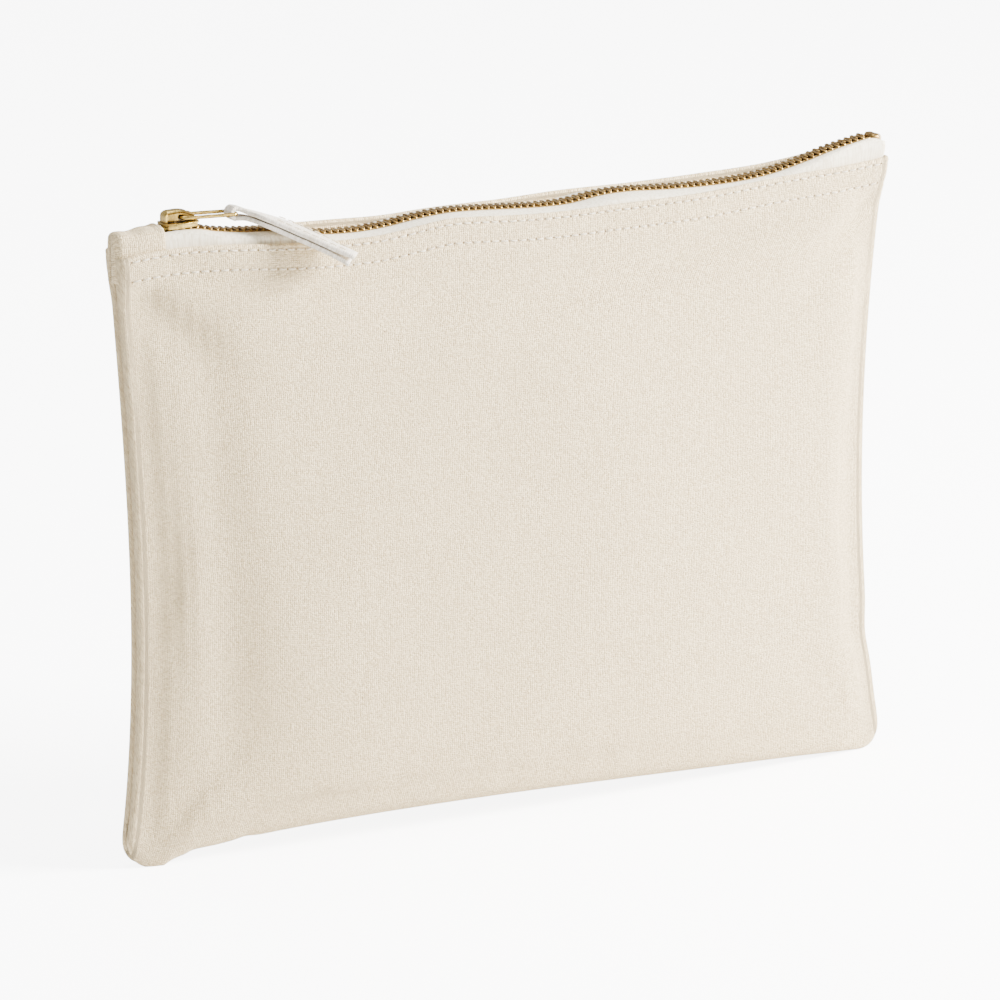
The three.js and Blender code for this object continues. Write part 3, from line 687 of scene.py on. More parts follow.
# %% Outline of the pouch
ARCH = 6.8
CORNER = 9.0
front_fold = through(
    [(-125, 177.2), (-121, 177.8), (-113, 178.4), (-106, 178.6), (-95, 178.3), (-87, 177.7), (-78, 176.8),
     (-66, 175.9), (-56, 175.5), (-44, 175.7), (-34, 176.8), (-24, 177.8), (-14, 177.3), (-4, 176.5),
     (14, 175.7), (27, 175.7), (44, 175.5),
     (62, 175.6), (78, 176.4), (90, 176.9), (98, 177.0), (107, 177.1), (116, 177.4), (125, 177.9)]
)
back_fold = through(
    [(-125, 178.8), (-110, 179.3), (-92, 179.4), (-70, 178.2), (-52, 177.3), (-37, 176.6), (-20, 176.9),
     (2, 176.6), (22, 176.9), (45, 176.5), (68, 176.8), (91, 177.8), (105, 179.6), (116, 182.0), (125, 183.2)]
)
chain_line = through(
    [(-124, 181.6), (-118, 182.2), (-110.5, 183.0), (-104, 183.0), (-99.5, 182.5), (-96, 181.6), (-91, 180.7),
     (-86, 180.1), (-78, 179.4), (-70, 178.3), (-62, 176.6), (-54, 175.9), (-42, 176.1), (-32, 177.2),
     (-22, 177.9), (-12, 177.5), (-3, 176.8), (7, 176.1), (17, 175.9),
     (30, 177.2), (38, 177.2), (46, 176.6), (63, 175.8), (74, 175.9), (83, 176.6), (96, 179.1), (105, 181.3),
     (113, 182.8), (120, 183.5), (125, 181.6)]
)


def half_span(z, side):
    """From the middle to the side edge at height z."""
    up = np.clip(z / HEIGHT, 0, 1)
    left = 126.0 - 5.6 * np.sin(math.pi * up**0.75)
    right = 124.0 - 8.2 * np.sin(math.pi * up**0.923) ** 0.75 - 0.9 * bump(z, 36, 7)
    return np.where(np.asarray(side) < 0, left, right)


def bottom_edge(x):
    u = np.clip((x + 113) / 234, 0, 1)
    arch = ARCH * np.maximum(np.sin(math.pi * u**0.62), 0) ** 0.8
    arch = arch + 0.5 * ramp(x, -108.5, -106) * ramp(x, -98, -106) + 0.5 * bump(x, -90, 3)
    into = np.maximum(0, np.abs(x) - (HALF_WIDTH - CORNER))
    corner = CORNER - np.sqrt(np.maximum(0, CORNER**2 - into**2))
    return arch + corner


print("arch of the bottom edge:", round(float(bottom_edge(-35)), 1), "mm")

# %% [markdown]
# A panel is fullest a third of the way up and thins to its edges, like a slack cushion. Broad soft folds cross it:
# one ridge runs down beside the left seam with a shallow valley inside it, and slow ripples run over the rest. They
# are sums of a few long waves with seeded directions, so they come out the same each time.

# %% Fullness and soft folds
ROLL_START = math.radians(-84)
EDGE_DEPTH = SIDE_ROLL * (1 - math.sin(ROLL_START))
SIDE_DEPTH = 4.72  # depth a few millimetres in from a side seam, and at the seam beside the mouth
BASE_DEPTH = 12.5
MOUTH_DEPTH = 10.5
BELLY_AT = 0.35
SEED = 11


def fullness(across, up):
    climb = np.sin(math.pi / 2 * np.minimum(1, up / BELLY_AT))
    low = BASE_DEPTH + (BELLY - BASE_DEPTH) * climb
    middle = low + (MOUTH_DEPTH - SEAM_HALF - BELLY) * ramp(up, BELLY_AT, 1)
    inward = np.maximum(ramp(1 - np.abs(across), 0, 0.15), ramp(up, 0.9, 0.97))
    edge = EDGE_DEPTH + (SIDE_DEPTH - EDGE_DEPTH) * inward
    rounding = 1.35 - 0.38 * ramp(up, 0.8, 0.97)
    return edge + (middle - SIDE_DEPTH) * np.maximum(1 - np.abs(across) ** 2.5, 0) ** rounding


def ripples(x, z, seed, length, count):
    """Slow waves over the cloth, from -1 to 1."""
    random = np.random.default_rng(seed)
    total = 0
    for _ in range(count):
        heading = random.uniform(0, math.pi)
        wave = length * random.uniform(0.7, 1.5)
        phase = random.uniform(0, 2 * math.pi)
        total = total + np.sin(2 * math.pi * (x * math.cos(heading) + z * math.sin(heading)) / wave + phase)
    return total / count


def soft_folds(x, z, side):
    up = z / HEIGHT
    lower = ramp(up, 0.99, 0.7)
    edge_fade = ramp(HALF_WIDTH - np.abs(x), 2, 16) * ramp(z, 6, 24)
    fold = 1.0 * ripples(x, z, SEED + int(side > 0), 120, 5) + 0.35 * ripples(x, z, SEED + 5, 46, 5)
    fold = fold * edge_fade * (0.35 + 0.65 * lower)
    if side < 0:
        fold = fold + 0.5 * bump(x + 0.02 * z, -118, 5) * ramp(up, 0.02, 0.2) * (0.4 + 0.6 * lower)
        fold = fold - 1.5 * bump(x + 0.05 * z, -97, 10) * ramp(up, 0.05, 0.3) * (0.5 + 0.5 * lower)
    pucker = 0.16 * np.sin(2 * math.pi * x / 17 + 3.5 * np.sin(x / 23))
    pucker = pucker * ripples(x, 0, SEED + 3, 60, 3) * bump(z, 14, 9)
    return fold + pucker * ramp(HALF_WIDTH - np.abs(x), 4, 20)


print("fullness mid-panel:", round(float(fullness(0, BELLY_AT)), 1), "mm")

# %% [markdown]
# Cloth that is filled settles into shapes that are hard to draw. A coarse pillow of the same outline is put through
# the cloth solver with a little pressure inside and its mouth pinned. Only the difference between where its points
# started and ended is kept, capped to a few millimetres, and it is added to the fine panels below. The solver is the
# slow part of the script.

# %% Settling the cloth
SIM_COLUMNS, SIM_ROWS = 61, 45
SIM_FRAMES = 20
SIM_CAP = 2.6


def coarse_panel(side):
    s = np.linspace(-1, 1, SIM_COLUMNS)[:, None]
    t = np.linspace(0, 1, SIM_ROWS)[None, :]
    s, t = np.broadcast_arrays(s, t)
    x = s * HALF_WIDTH
    fold = front_fold(x) if side < 0 else back_fold(x)
    low = bottom_edge(x)
    z = low + (fold - low) * t
    closed = np.minimum(ramp(1 - np.abs(s), 0, 0.03), ramp(t, 0, 0.05))
    depth = closed * 0.9 * fullness(s, z / HEIGHT)
    return np.stack([s * half_span(z, s), side * depth, z], -1)


def settle():
    """Displacements of both panels' coarse points, by side."""
    grids = {side: coarse_panel(side) for side in (-1, 1)}
    count = SIM_COLUMNS * SIM_ROWS
    points = np.concatenate([grids[-1].reshape(-1, 3), grids[1].reshape(-1, 3)])
    index = np.arange(2 * count)
    shared = np.zeros((SIM_COLUMNS, SIM_ROWS), bool)
    shared[0], shared[-1], shared[:, 0] = True, True, True
    shared = np.flatnonzero(shared.ravel())
    index[count + shared] = shared
    face = quads_between(SIM_COLUMNS, SIM_ROWS)
    faces = np.concatenate([face, index[face[:, ::-1] + count]])
    used = np.unique(faces)
    number = np.full(2 * count, -1)
    number[used] = np.arange(len(used))
    mesh = bpy.data.meshes.new("settling")
    mesh.from_pydata((points[used] * MM).tolist(), [], number[faces].tolist())
    item = bpy.data.objects.new("settling", mesh)
    bpy.context.scene.collection.objects.link(item)
    held = item.vertex_groups.new(name="held")
    tops = np.arange(SIM_COLUMNS) * SIM_ROWS + SIM_ROWS - 1
    held.add([int(n) for n in number[np.concatenate([tops, tops + count])] if n >= 0], 1.0, "REPLACE")
    cloth = item.modifiers.new("settling", "CLOTH")
    cloth.settings.vertex_group_mass = "held"
    cloth.settings.quality = 8
    cloth.settings.mass = 0.35
    cloth.settings.tension_stiffness = 40
    cloth.settings.compression_stiffness = 40
    cloth.settings.shear_stiffness = 20
    cloth.settings.bending_stiffness = 4
    cloth.settings.use_pressure = True
    cloth.settings.uniform_pressure_force = 3
    cloth.settings.effector_weights.gravity = 0
    cloth.collision_settings.use_collision = False
    for number_of_frame in range(1, SIM_FRAMES + 1):
        bpy.context.scene.frame_set(number_of_frame)
    done = item.evaluated_get(bpy.context.evaluated_depsgraph_get()).to_mesh()
    after = np.zeros(len(used) * 3)
    done.vertices.foreach_get("co", after)
    bpy.context.scene.frame_set(1)
    bpy.data.objects.remove(item)
    moved = np.zeros((2 * count, 3))
    moved[used] = after.reshape(-1, 3) / MM - points[used]
    moved[count + shared] = moved[shared]
    far = np.linalg.norm(moved, axis=1, keepdims=True)
    moved *= SIM_CAP * np.tanh(far / SIM_CAP) / np.maximum(far, 1e-9)
    print("settling moved the cloth by up to", round(float(far.max()), 2), "mm before the cap")
    parts = moved.reshape(2, SIM_COLUMNS, SIM_ROWS, 3)
    return {-1: parts[0], 1: parts[1]}


settled = settle()


def settled_at(side, s, t):
    """The coarse displacement, read smoothly at shares s (-1 to 1) and t (0 to 1)."""
    field = settled[side]
    a = np.clip((s + 1) / 2, 0, 1) * (SIM_COLUMNS - 1)
    b = np.clip(t, 0, 1) * (SIM_ROWS - 1)
    i = np.clip(a.astype(int), 0, SIM_COLUMNS - 2)
    j = np.clip(b.astype(int), 0, SIM_ROWS - 2)
    f, g = smooth(a - i)[..., None], smooth(b - j)[..., None]
    low = field[i, j] * (1 - f) + field[i + 1, j] * f
    high = field[i, j + 1] * (1 - f) + field[i + 1, j + 1] * f
    return low * (1 - g) + high * g


# %% [markdown]
# One panel is a single grid of points: round the rolled edge beside each side seam, across the belly, up from the
# rolled bottom edge, over the fold at the top and down again inside as the hem. The hem has close rows, so that the
# two stitch rows can press real dimples into it. Giving the grid a thickness makes it cloth.

# %% Panel grid
ROLL_STEPS = 9
COLUMN_STEP = 1.0
ROW_STEP = 2.1
FOLD_STEPS = 7
LAYER = 0.9  # from the outer layer of the hem to the inner one
HEM_DROPS = [12.6, 12.0, 11.4, 10.4, 9.4, 8.4, 7.8, 7.3, 6.8, 6.3, 5.8, 5.0, 4.0, 3.0, 2.3, 1.7, 1.2, 0.8, 0.45]


def roll(radius):
    """Insets from the edge and shares of the depth, round a rolled edge."""
    turn = np.linspace(ROLL_START, math.pi / 2, ROLL_STEPS)
    share = (np.sin(turn) - math.sin(ROLL_START)) / (1 - math.sin(ROLL_START))
    return radius * (1 - np.cos(turn)), share


side_inset, side_share = roll(SIDE_ROLL)
base_rise, base_share = roll(BASE_ROLL)
inner = np.arange(SIDE_ROLL + COLUMN_STEP, HALF_WIDTH, COLUMN_STEP)
inset = np.concatenate([side_inset, inner, [HALF_WIDTH], inner[::-1], side_inset[::-1]])
col_share = np.concatenate([side_share, np.ones(2 * len(inner) + 1), side_share[::-1]])
col_side = np.where(np.arange(len(inset)) < len(inset) // 2, -1.0, 1.0)
flat_x = col_side * (HALF_WIDTH - inset)
print(len(inset), "columns")


def depth_at(x, z, s, side):
    return fullness(s, z / HEIGHT) + soft_folds(x, z, side)


def dimples(x, drop):
    """How far the stitches press the hem in."""
    wave = 0.62 + 0.38 * np.cos(2 * math.pi * x / STITCH_PITCH)
    pressed = sum(bump(drop, row, 0.75) for row in STITCH_DROPS)
    swell = bump(drop, sum(STITCH_DROPS) / 2, 2.2) * (0.5 + 0.5 * ripples(x, 0, SEED + 9, 14, 4))
    return 0.26 * pressed * wave - 0.22 * swell


def panel_middle(side):
    """Middle points of the outer layer, and where they lie on the flat cloth."""
    fold = (front_fold if side < 0 else back_fold)(flat_x)
    foot = bottom_edge(flat_x)
    hem_low = fold - HEM_DROPS[0]
    plain = np.arange(BASE_ROLL + ROW_STEP, HEIGHT - HEM - 1.0, ROW_STEP)
    share_up = (plain - BASE_ROLL) / (plain[-1] + ROW_STEP - BASE_ROLL)
    heights = [foot + rise for rise in base_rise]
    heights += [foot + BASE_ROLL + (hem_low - foot - BASE_ROLL) * k for k in share_up]
    heights += [fold - drop for drop in HEM_DROPS]
    z = np.array(heights).T
    row_share = np.concatenate([base_share, np.ones(z.shape[1] - ROLL_STEPS)])[None, :]
    x_flat = np.broadcast_to(flat_x[:, None], z.shape)
    span = half_span(z, col_side[:, None])
    rolled = (inset < SIDE_ROLL + 0.01)[:, None]
    x = np.where(rolled, col_side[:, None] * (span - inset[:, None]), x_flat * span / HALF_WIDTH)
    s = np.clip(x_flat / HALF_WIDTH, -1, 1)
    full = depth_at(x_flat, z, s, side) - CLOTH
    drop = fold[:, None] - z
    full = full - dimples(x_flat, drop) * np.where(drop < HEM + 2, 1, 0) * col_share[:, None]
    full = full - 0.18 * ramp(drop, HEM - 0.8, HEM + 0.8)
    near = SEAM_CLOSED + CLOTH / 2
    y = -(near + col_share[:, None] * row_share * full)
    middle = np.stack([x, y, z], -1)
    up = (z - foot[:, None]) / (fold - foot)[:, None]
    move = settled_at(side, s, up) * (1, -side, 1)
    fade = ramp(HALF_WIDTH - np.abs(x_flat), 1, 9) * ramp(up, 0.0, 0.06) * ramp(drop, 3, 16)
    middle = middle + move * fade[..., None]
    return middle, drop


def panel_grid(side):
    middle, drop = panel_middle(side)
    across = unit(np.gradient(middle[:, -1], axis=0))
    out = np.stack([across[:, 1], -across[:, 0], np.zeros(len(across))], -1)
    out = unit(np.where((out[:, 1:2] > 0) & (col_share[:, None] > 0.99), -out, out))
    top = middle[:, -1]
    radius = LAYER / 2
    rows, drops = [], []
    for angle in np.linspace(0, math.pi, FOLD_STEPS):
        lift = radius * math.sin(angle)
        rows.append(top - out * radius * (1 - math.cos(angle)) + np.array((0, 0, lift)))
        drops.append(np.full(len(top), 0.3))
    for fall in (1.2, 2.3, 4.0, 5.8, 7.8, 9.4, 11.4):
        rows.append(middle[:, HEM_DROPS.index(fall) - len(HEM_DROPS)] - out * LAYER)
        drops.append(np.full(len(top), HEM * 3))
    grid = np.concatenate([middle, np.stack(rows, 1)], 1)
    drop = np.concatenate([drop, np.stack(drops, 1)], 1)
    length = np.linalg.norm(np.diff(grid, axis=1), axis=2)
    run = np.concatenate([np.zeros((len(grid), 1)), np.cumsum(length, 1)], 1)
    arc = np.concatenate([[0], np.cumsum(np.linalg.norm(np.diff(middle[:, 60], axis=0), axis=1))])
    arc = arc - arc[len(arc) // 2]
    place = np.stack([np.broadcast_to(arc[:, None], run.shape), run, drop], -1)
    limit = HALF_WIDTH - SIDE_ROLL
    stitched = np.abs(flat_x) < limit
    last = np.flatnonzero(stitched)[[0, -1]]
    along = np.where(stitched, flat_x, np.where(col_side < 0, flat_x[last[0]] + arc - arc[last[0]],
                                                flat_x[last[1]] + arc - arc[last[1]]))
    plain = ramp(drop, HEM + 1, HEM + 16)
    place[..., 0] = along[:, None] * (1 - plain) + arc[:, None] * plain
    place[..., 2] = np.where(stitched[:, None], place[..., 2], HEM * 3)
    if side > 0:
        grid = grid * (1, -1, 1)
        place = place + (0.0, 400.0, 0.0)
    return grid, place


panels = {side: panel_grid(side) for side in (-1, 1)}
print("panel grid:", panels[-1][0].shape[:2])

# %% [markdown]
# Inside, the cut edges of both panels stand back from the seams. Each is a narrow strip of the same cloth, so it
# belongs to the panel's mesh. The chain stitch and the overlocking over the cut edges are thread, made below.


# %% Panels
SEAM_INSET = SIDE_ROLL * (1 - math.cos(ROLL_START))
SEAM_RISE = BASE_ROLL * (1 - math.cos(ROLL_START))


def seam_line(where, depth_in, y, steps=70):
    """Points along a seam, `depth_in` from it towards the inside."""
    if where == "bottom":
        x = np.linspace(-96, 96, steps)
        z = bottom_edge(x) + SEAM_RISE + depth_in
        return np.stack([x, np.full(steps, y), z], -1)
    side = -1 if where == "left" else 1
    z = np.linspace(17, HEIGHT - HEM - 4, steps)
    x = side * (half_span(z, side) - SEAM_INSET - depth_in)
    return np.stack([x, np.full(steps, y), z], -1)


def seam_allowance(where, side):
    """A strip of cloth inside a seam, with a cut edge that waves a little."""
    y = side * (SEAM_HALF + CLOTH / 2)
    lines = []
    for share in (0.0, 0.2, 0.45, 0.7, 1.0):
        line = seam_line(where, ALLOWANCE * share * (0.94 if share == 1.0 else 1), y)
        line[:, 1] += side * 0.25 * max(share, 0) * (1 + ripples(line[:, 0] + line[:, 2], 0, SEED + 21, 30, 4))
        lines.append(line)
    return np.stack(lines, 1)


def make_panel(name, node, side):
    grid, place = panels[side]
    piece = Piece(name).shell(grid, CLOTH, place)
    for where in ("left", "right", "bottom"):
        strip = seam_allowance(where, side)
        flat = strip[..., [0, 2, 1]] + (0, 600 + 100 * side, 50)
        piece.shell(strip, CLOTH * 0.9, flat)
    return piece.make(canvas, None, "canvas", [node])


front_cloth = make_panel("front_cloth", "front_panel", -1)
back_cloth = make_panel("back_cloth", "back_panel", 1)

# %% [markdown]
# When the zip opens, each side of the mouth swings out from the seam plane, but both ends stay joined. Here the
# panels, tapes, teeth and top stitches only have their placement baked into their points, so they stay where they
# are built.


def opens(item):
    """Bakes the piece's placement into its points."""
    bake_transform(item)
    points = np.zeros(len(item.data.vertices) * 3)
    item.data.vertices.foreach_get("co", points)
    return item


for item, side in ((front_cloth, -1), (back_cloth, 1)):
    opens(item)

# %% [markdown]
# Each stitch is its own short length of thread, pulled down into a hole at both ends and swelling between them. A
# drawn line would look printed; small changes in slant and length, from a seeded generator, make it sewn.


# %% Topstitching
def surface_at(side, x, drop):
    """A point on a panel's outer face and the direction out of it."""
    grid, place = panels[side]
    rows = np.arange(grid.shape[1] - FOLD_STEPS - 7)
    column = int(np.argmin(np.abs(flat_x - x)))
    column = min(max(column, 1), len(flat_x) - 2)
    other = column + (1 if x > flat_x[column] else -1)
    share = abs(x - flat_x[column]) / max(abs(flat_x[other] - flat_x[column]), 1e-6)
    line = grid[column, rows] * (1 - share) + grid[other, rows] * share
    drops = place[column, rows, 2]
    fold = line[-1, 2] + HEM_DROPS[-1]
    found = np.array([np.interp(fold - drop, line[:, 2], line[:, k]) for k in range(3)])
    slope = (grid[column + 1, rows[-6]] - grid[column - 1, rows[-6]])[:2]
    out = np.array([slope[1], -slope[0], 0.0]) / np.linalg.norm(slope)
    out = out * (1 if out[1] * side > 0 else -1)
    return found + out * CLOTH / 2, out


def stitch_row(name, node, side, drop, seed):
    random = np.random.default_rng(seed)
    piece = Piece(name)
    first, last = -122.5, 122.5
    holes = np.arange(math.ceil(first / STITCH_PITCH), math.floor(last / STITCH_PITCH) + 1) * STITCH_PITCH
    for left, right in zip(holes[:-1], holes[1:]):
        a, out = surface_at(side, left + 0.3, drop)
        b, _ = surface_at(side, right - 0.3, drop)
        lean = random.normal(0, 0.07)
        a = a - out * 0.10 + (0, 0, lean)
        b = b - out * 0.10 - (0, 0, lean)
        middle, _ = surface_at(side, (left + right) / 2, drop)
        lift = float((middle - (a + b) / 2) @ out) + 0.14 + random.uniform(-0.03, 0.05)
        piece.add(*capsule(a, b, 0.24 + random.uniform(-0.02, 0.02), lift=lift, normal=out))
    return opens(piece.make(thread_cotton, None, "thread", [node]))


for side, where in ((-1, "front"), (1, "back")):
    for row, drop in zip(("upper", "lower"), STITCH_DROPS):
        row_seed = SEED + int(drop * 10) + side
        stitch_row(f"{where}_stitches_{row}", f"{where}_topstitch_{row}", side, drop, row_seed)


# %% [markdown]
# The seams are closed by a straight row of thread between the panels, and their cut edges are wrapped by an
# overlocker, whose loops lean from one side to the other. Both are seen only when the pouch is open.


# %% Seams inside
def seam_thread(where):
    line = seam_line(where, ALLOWANCE / 4, 0.0, 140)
    wave = 0.12 * np.sin(np.arange(140) * math.pi / 2)
    line[:, 1] += wave
    piece = Piece(f"{where}_seam_stitches").add(*tube(line, 0.2, 6, up=(0.3, 1.0, 0.2)))
    return piece.make(thread_cotton, "pouch", "thread", [f"{where}_seam_thread"])


def overlock(where):
    piece = Piece(f"{where}_seam_overlocking")
    y = SEAM_HALF + CLOTH + 0.45
    inner_line, edge = ALLOWANCE - 3.5, ALLOWANCE + 0.45
    steps = 2 * 150
    low = seam_line(where, inner_line, 0.0, steps)
    high = seam_line(where, edge, 0.0, steps)
    path = []
    for k in range(0, steps - 3, 3):
        path += [low[k] + (0, -y, 0), high[k] + (0, -y, 0), high[k + 1] + (0, y, 0), low[k + 1] + (0, y, 0)]
        path += [high[k + 2] + (0, y, 0), high[k + 2] + (0, -y, 0)]
    path = np.array(path)
    piece.add(*tube(path, 0.17, 5, up=(0.1, 0.2, 0.97) if where != "bottom" else (0.97, 0.2, 0.1)))
    for offset in (-y - 0.1, y + 0.1):
        edge_line = seam_line(where, inner_line - 0.2, offset, 150)
        piece.add(*tube(edge_line, 0.18, 5, up=(0.3, 1.0, 0.2)))
    return piece.make(thread_cotton, "pouch", "thread", [f"{where}_seam_overlock"])


for where in ("left", "right", "bottom"):
    seam_thread(where)
    overlock(where)

# %% [markdown]
# A zip tape is a narrow band of tightly woven cotton with a thick corded edge that carries the teeth. It is sewn
# behind the fold, comes up past it and turns in towards the teeth. Where the teeth stand higher than the fold, near
# both ends, it shows as a smooth pale band.

# %% Zip tapes
TAPE = 0.5
BEAD_Y = 2.25
TAPE_EDGE = 2.7
TAPE_LEFT, TAPE_RIGHT = -121.5, 123.6
COVER_RIGHT = -111.8
TAPE_ROWS = 16
slider_low, slider_high = cad("slider_body")
SLIDER_X = (slider_low[0] + slider_high[0]) / 2


def fold_line(side, x):
    return (front_fold if side < 0 else back_fold)(x)


def mouth_inside(side, x):
    """Depth of the hem's inner face, from the seam plane."""
    z = fold_line(side, x) - 3
    s = np.clip(x / HALF_WIDTH, -1, 1)
    return SEAM_HALF + depth_at(x, z, s, side) - 2 * CLOTH - 0.25


def tape_profile(side, x):
    slack = 0.3 - 0.25 * float(bump(x, SLIDER_X, 9))
    outer = mouth_inside(side, x) - slack - TAPE / 2
    outer = outer - 1.2 * ramp(x, COVER_RIGHT + 1.0, COVER_RIGHT - 0.2)
    chain, fold = chain_line(x), fold_line(side, x)
    bend = min(fold, chain) - 1.2
    rise = max(chain - fold, 0.0)
    edge_in = max(outer - 0.35 - 0.05 * rise, TAPE_EDGE + 0.3)
    points = [
        (outer, fold - 9.0),
        (outer, bend - 3.0),
        (outer, bend),
        (edge_in, chain - 0.9),
        ((edge_in + TAPE_EDGE) / 2, chain - 0.15),
        (TAPE_EDGE, chain),
    ]
    y = through([(k, p[0]) for k, p in enumerate(points)])
    z = through([(k, p[1]) for k, p in enumerate(points)])
    k = np.linspace(0, len(points) - 1, TAPE_ROWS)
    drawn_in = 1 + (half_span(z(k), x) / HALF_WIDTH - 1) * ramp(abs(x), 104, 120)
    return np.stack([x * drawn_in, side * y(k), z(k)], -1)


def make_tape(name, node, side):
    xs = np.linspace(TAPE_LEFT, TAPE_RIGHT, 260)
    grid = np.stack([tape_profile(side, x) for x in xs])
    run = np.concatenate([[0], np.cumsum(np.linalg.norm(np.diff(grid[130], axis=0), axis=1))])
    own_side = np.full((260, TAPE_ROWS), side * 9.0)
    place = np.stack([*np.broadcast_arrays(xs[:, None], run[None, :] + 900, own_side)], -1)
    item = opens(Piece(name).shell(grid, TAPE, place).make(tape_cotton, None, "zip_tape", [node]))
    return item


make_tape("front_tape", "zip_tape_front", -1)
make_tape("back_tape", "zip_tape_back", 1)

# %% [markdown]
# A metal tooth is a strip of brass bent round the corded edge: two legs that grip it, a waist, and a rounded head
# with a dimple that locks into the next. Its outline is drawn once from above and lofted through its thickness with
# smaller rings at both faces, so its edges catch the light as worn metal does.

# %% Teeth
TOOTH_PITCH = 2.1
TOOTH_HALF = 1.0
TEETH_START, TEETH_END = -106.9, 118.2
head = [(0.0, -1.12), (0.24, -1.04), (0.40, -0.72), (0.42, -0.35), (0.33, 0.05), (0.36, 0.7), (0.46, 1.2),
        (0.48, 2.2), (0.40, 2.72)]
TOOTH_OUTLINE = np.array(head + [(-x, y) for x, y in reversed(head[1:])])


def tooth(x, side, slope):
    """One tooth, standing square to the chain where it is."""
    rings = []
    for z, shrink in ((-1.0, 0.80), (-0.84, 1.0), (-0.3, 1.02), (0.3, 1.02), (0.84, 1.0), (1.0, 0.80)):
        middle = np.array([0.0, 0.7])
        ring = (TOOTH_OUTLINE - middle) * (shrink, 1 - (1 - shrink) * 0.35) + middle
        rings.append(np.column_stack([ring[:, 0], side * ring[:, 1], np.full(len(ring), z * TOOTH_HALF)]))
    points, faces, caps = loft(rings)
    c, s = math.cos(slope), math.sin(slope)
    turned = points @ np.array([[c, 0, s], [0, 1, 0], [-s, 0, c]])
    return turned + (x, 0, float(chain_line(x))), faces, caps


def make_teeth(name, node, side):
    random = np.random.default_rng(SEED + 40 + side)
    piece = Piece(name)
    bead_x = np.linspace(TEETH_START - 0.5, TEETH_END, 240)
    bead = np.stack([bead_x, np.full(240, side * BEAD_Y), chain_line(bead_x)], -1)
    piece.add(*tube(bead, 0.62, 8))
    x = TEETH_START + (0 if side < 0 else TOOTH_PITCH / 2)
    count = 0
    while x < TEETH_END - 0.5:
        slope = math.atan2(float(chain_line(x + 0.5) - chain_line(x - 0.5)), 1.0)
        slope += random.normal(0, 0.02)
        piece.add(*tooth(x + random.normal(0, 0.02), side, slope))
        x += TOOTH_PITCH
        count += 1
    print(count, "teeth")
    return opens(piece.make(tooth_brass, None, "teeth", [node]))


make_teeth("front_teeth", "zip_teeth_front", -1)
make_teeth("back_teeth", "zip_teeth_back", 1)


# %% [markdown]
# Small stops keep the slider on the zip: one clamped on each tape under the end cover, and one across both tapes at
# the other end. They are pressed from thick metal, so a box with rounded edges comes close, and the slider's post
# uses the same helper.


# %% Stops
def rounded_box(low, high, radius, rings=5):
    """A box with rounded upright edges and softened faces, as a loft."""
    low, high = np.array(low, float), np.array(high, float)
    centre, half = (low + high) / 2, (high - low) / 2
    angle = np.linspace(0, 2 * math.pi, 24, endpoint=False) + math.pi / 24
    c, s = np.cos(angle), np.sin(angle)
    power = 0.42
    outline = np.column_stack([np.sign(c) * np.abs(c) ** power, np.sign(s) * np.abs(s) ** power])
    sections = []
    for t in np.linspace(-1, 1, rings):
        edge = radius * (1 - math.sqrt(max(0.0, 1 - t * t)))
        z = centre[2] + t * half[2]
        sections.append(np.column_stack([centre[0] + outline[:, 0] * (half[0] - edge),
                                         centre[1] + outline[:, 1] * (half[1] - edge), np.full(24, z)]))
    return loft(sections)


STOP_LENGTH, STOP_HALF = 2.6, 1.1
for side, where in ((-1, "front"), (1, "back")):
    x = COVER_RIGHT - 0.4 - STOP_LENGTH
    z = float(chain_line(x + STOP_LENGTH / 2))
    ends = sorted((side * 0.35, side * 2.6))
    piece = Piece(f"{where}_top_stop")
    piece.add(*rounded_box((x, ends[0], z - STOP_HALF), (x + STOP_LENGTH, ends[1], z + STOP_HALF), 0.3))
    piece.make(tooth_brass, "pouch", "teeth", [f"top_stop_{where}"])
z = float(chain_line(120.0))
piece = Piece("end_stop").add(*rounded_box((118.6, -2.7, z - STOP_HALF), (121.3, 2.7, z + STOP_HALF), 0.35))
piece.make(tooth_brass, "pouch", "teeth", ["bottom_stop"])

# %% [markdown]
# The left end of the zip is closed by a scrap of the same canvas, folded over both tapes and sewn down with the
# topstitching. Its free edge is turned under, so it ends in a soft rounded fold beside the slider.

# %% End cover
COVER_LEFT, COVER_FOLD = -124.4, -111.6
COVER_END = [(-126.1, 0.10, 1.3), (-126.0, 0.45, 0.7), (-125.6, 0.75, 0.25), (-125.0, 0.93, 0.05)]


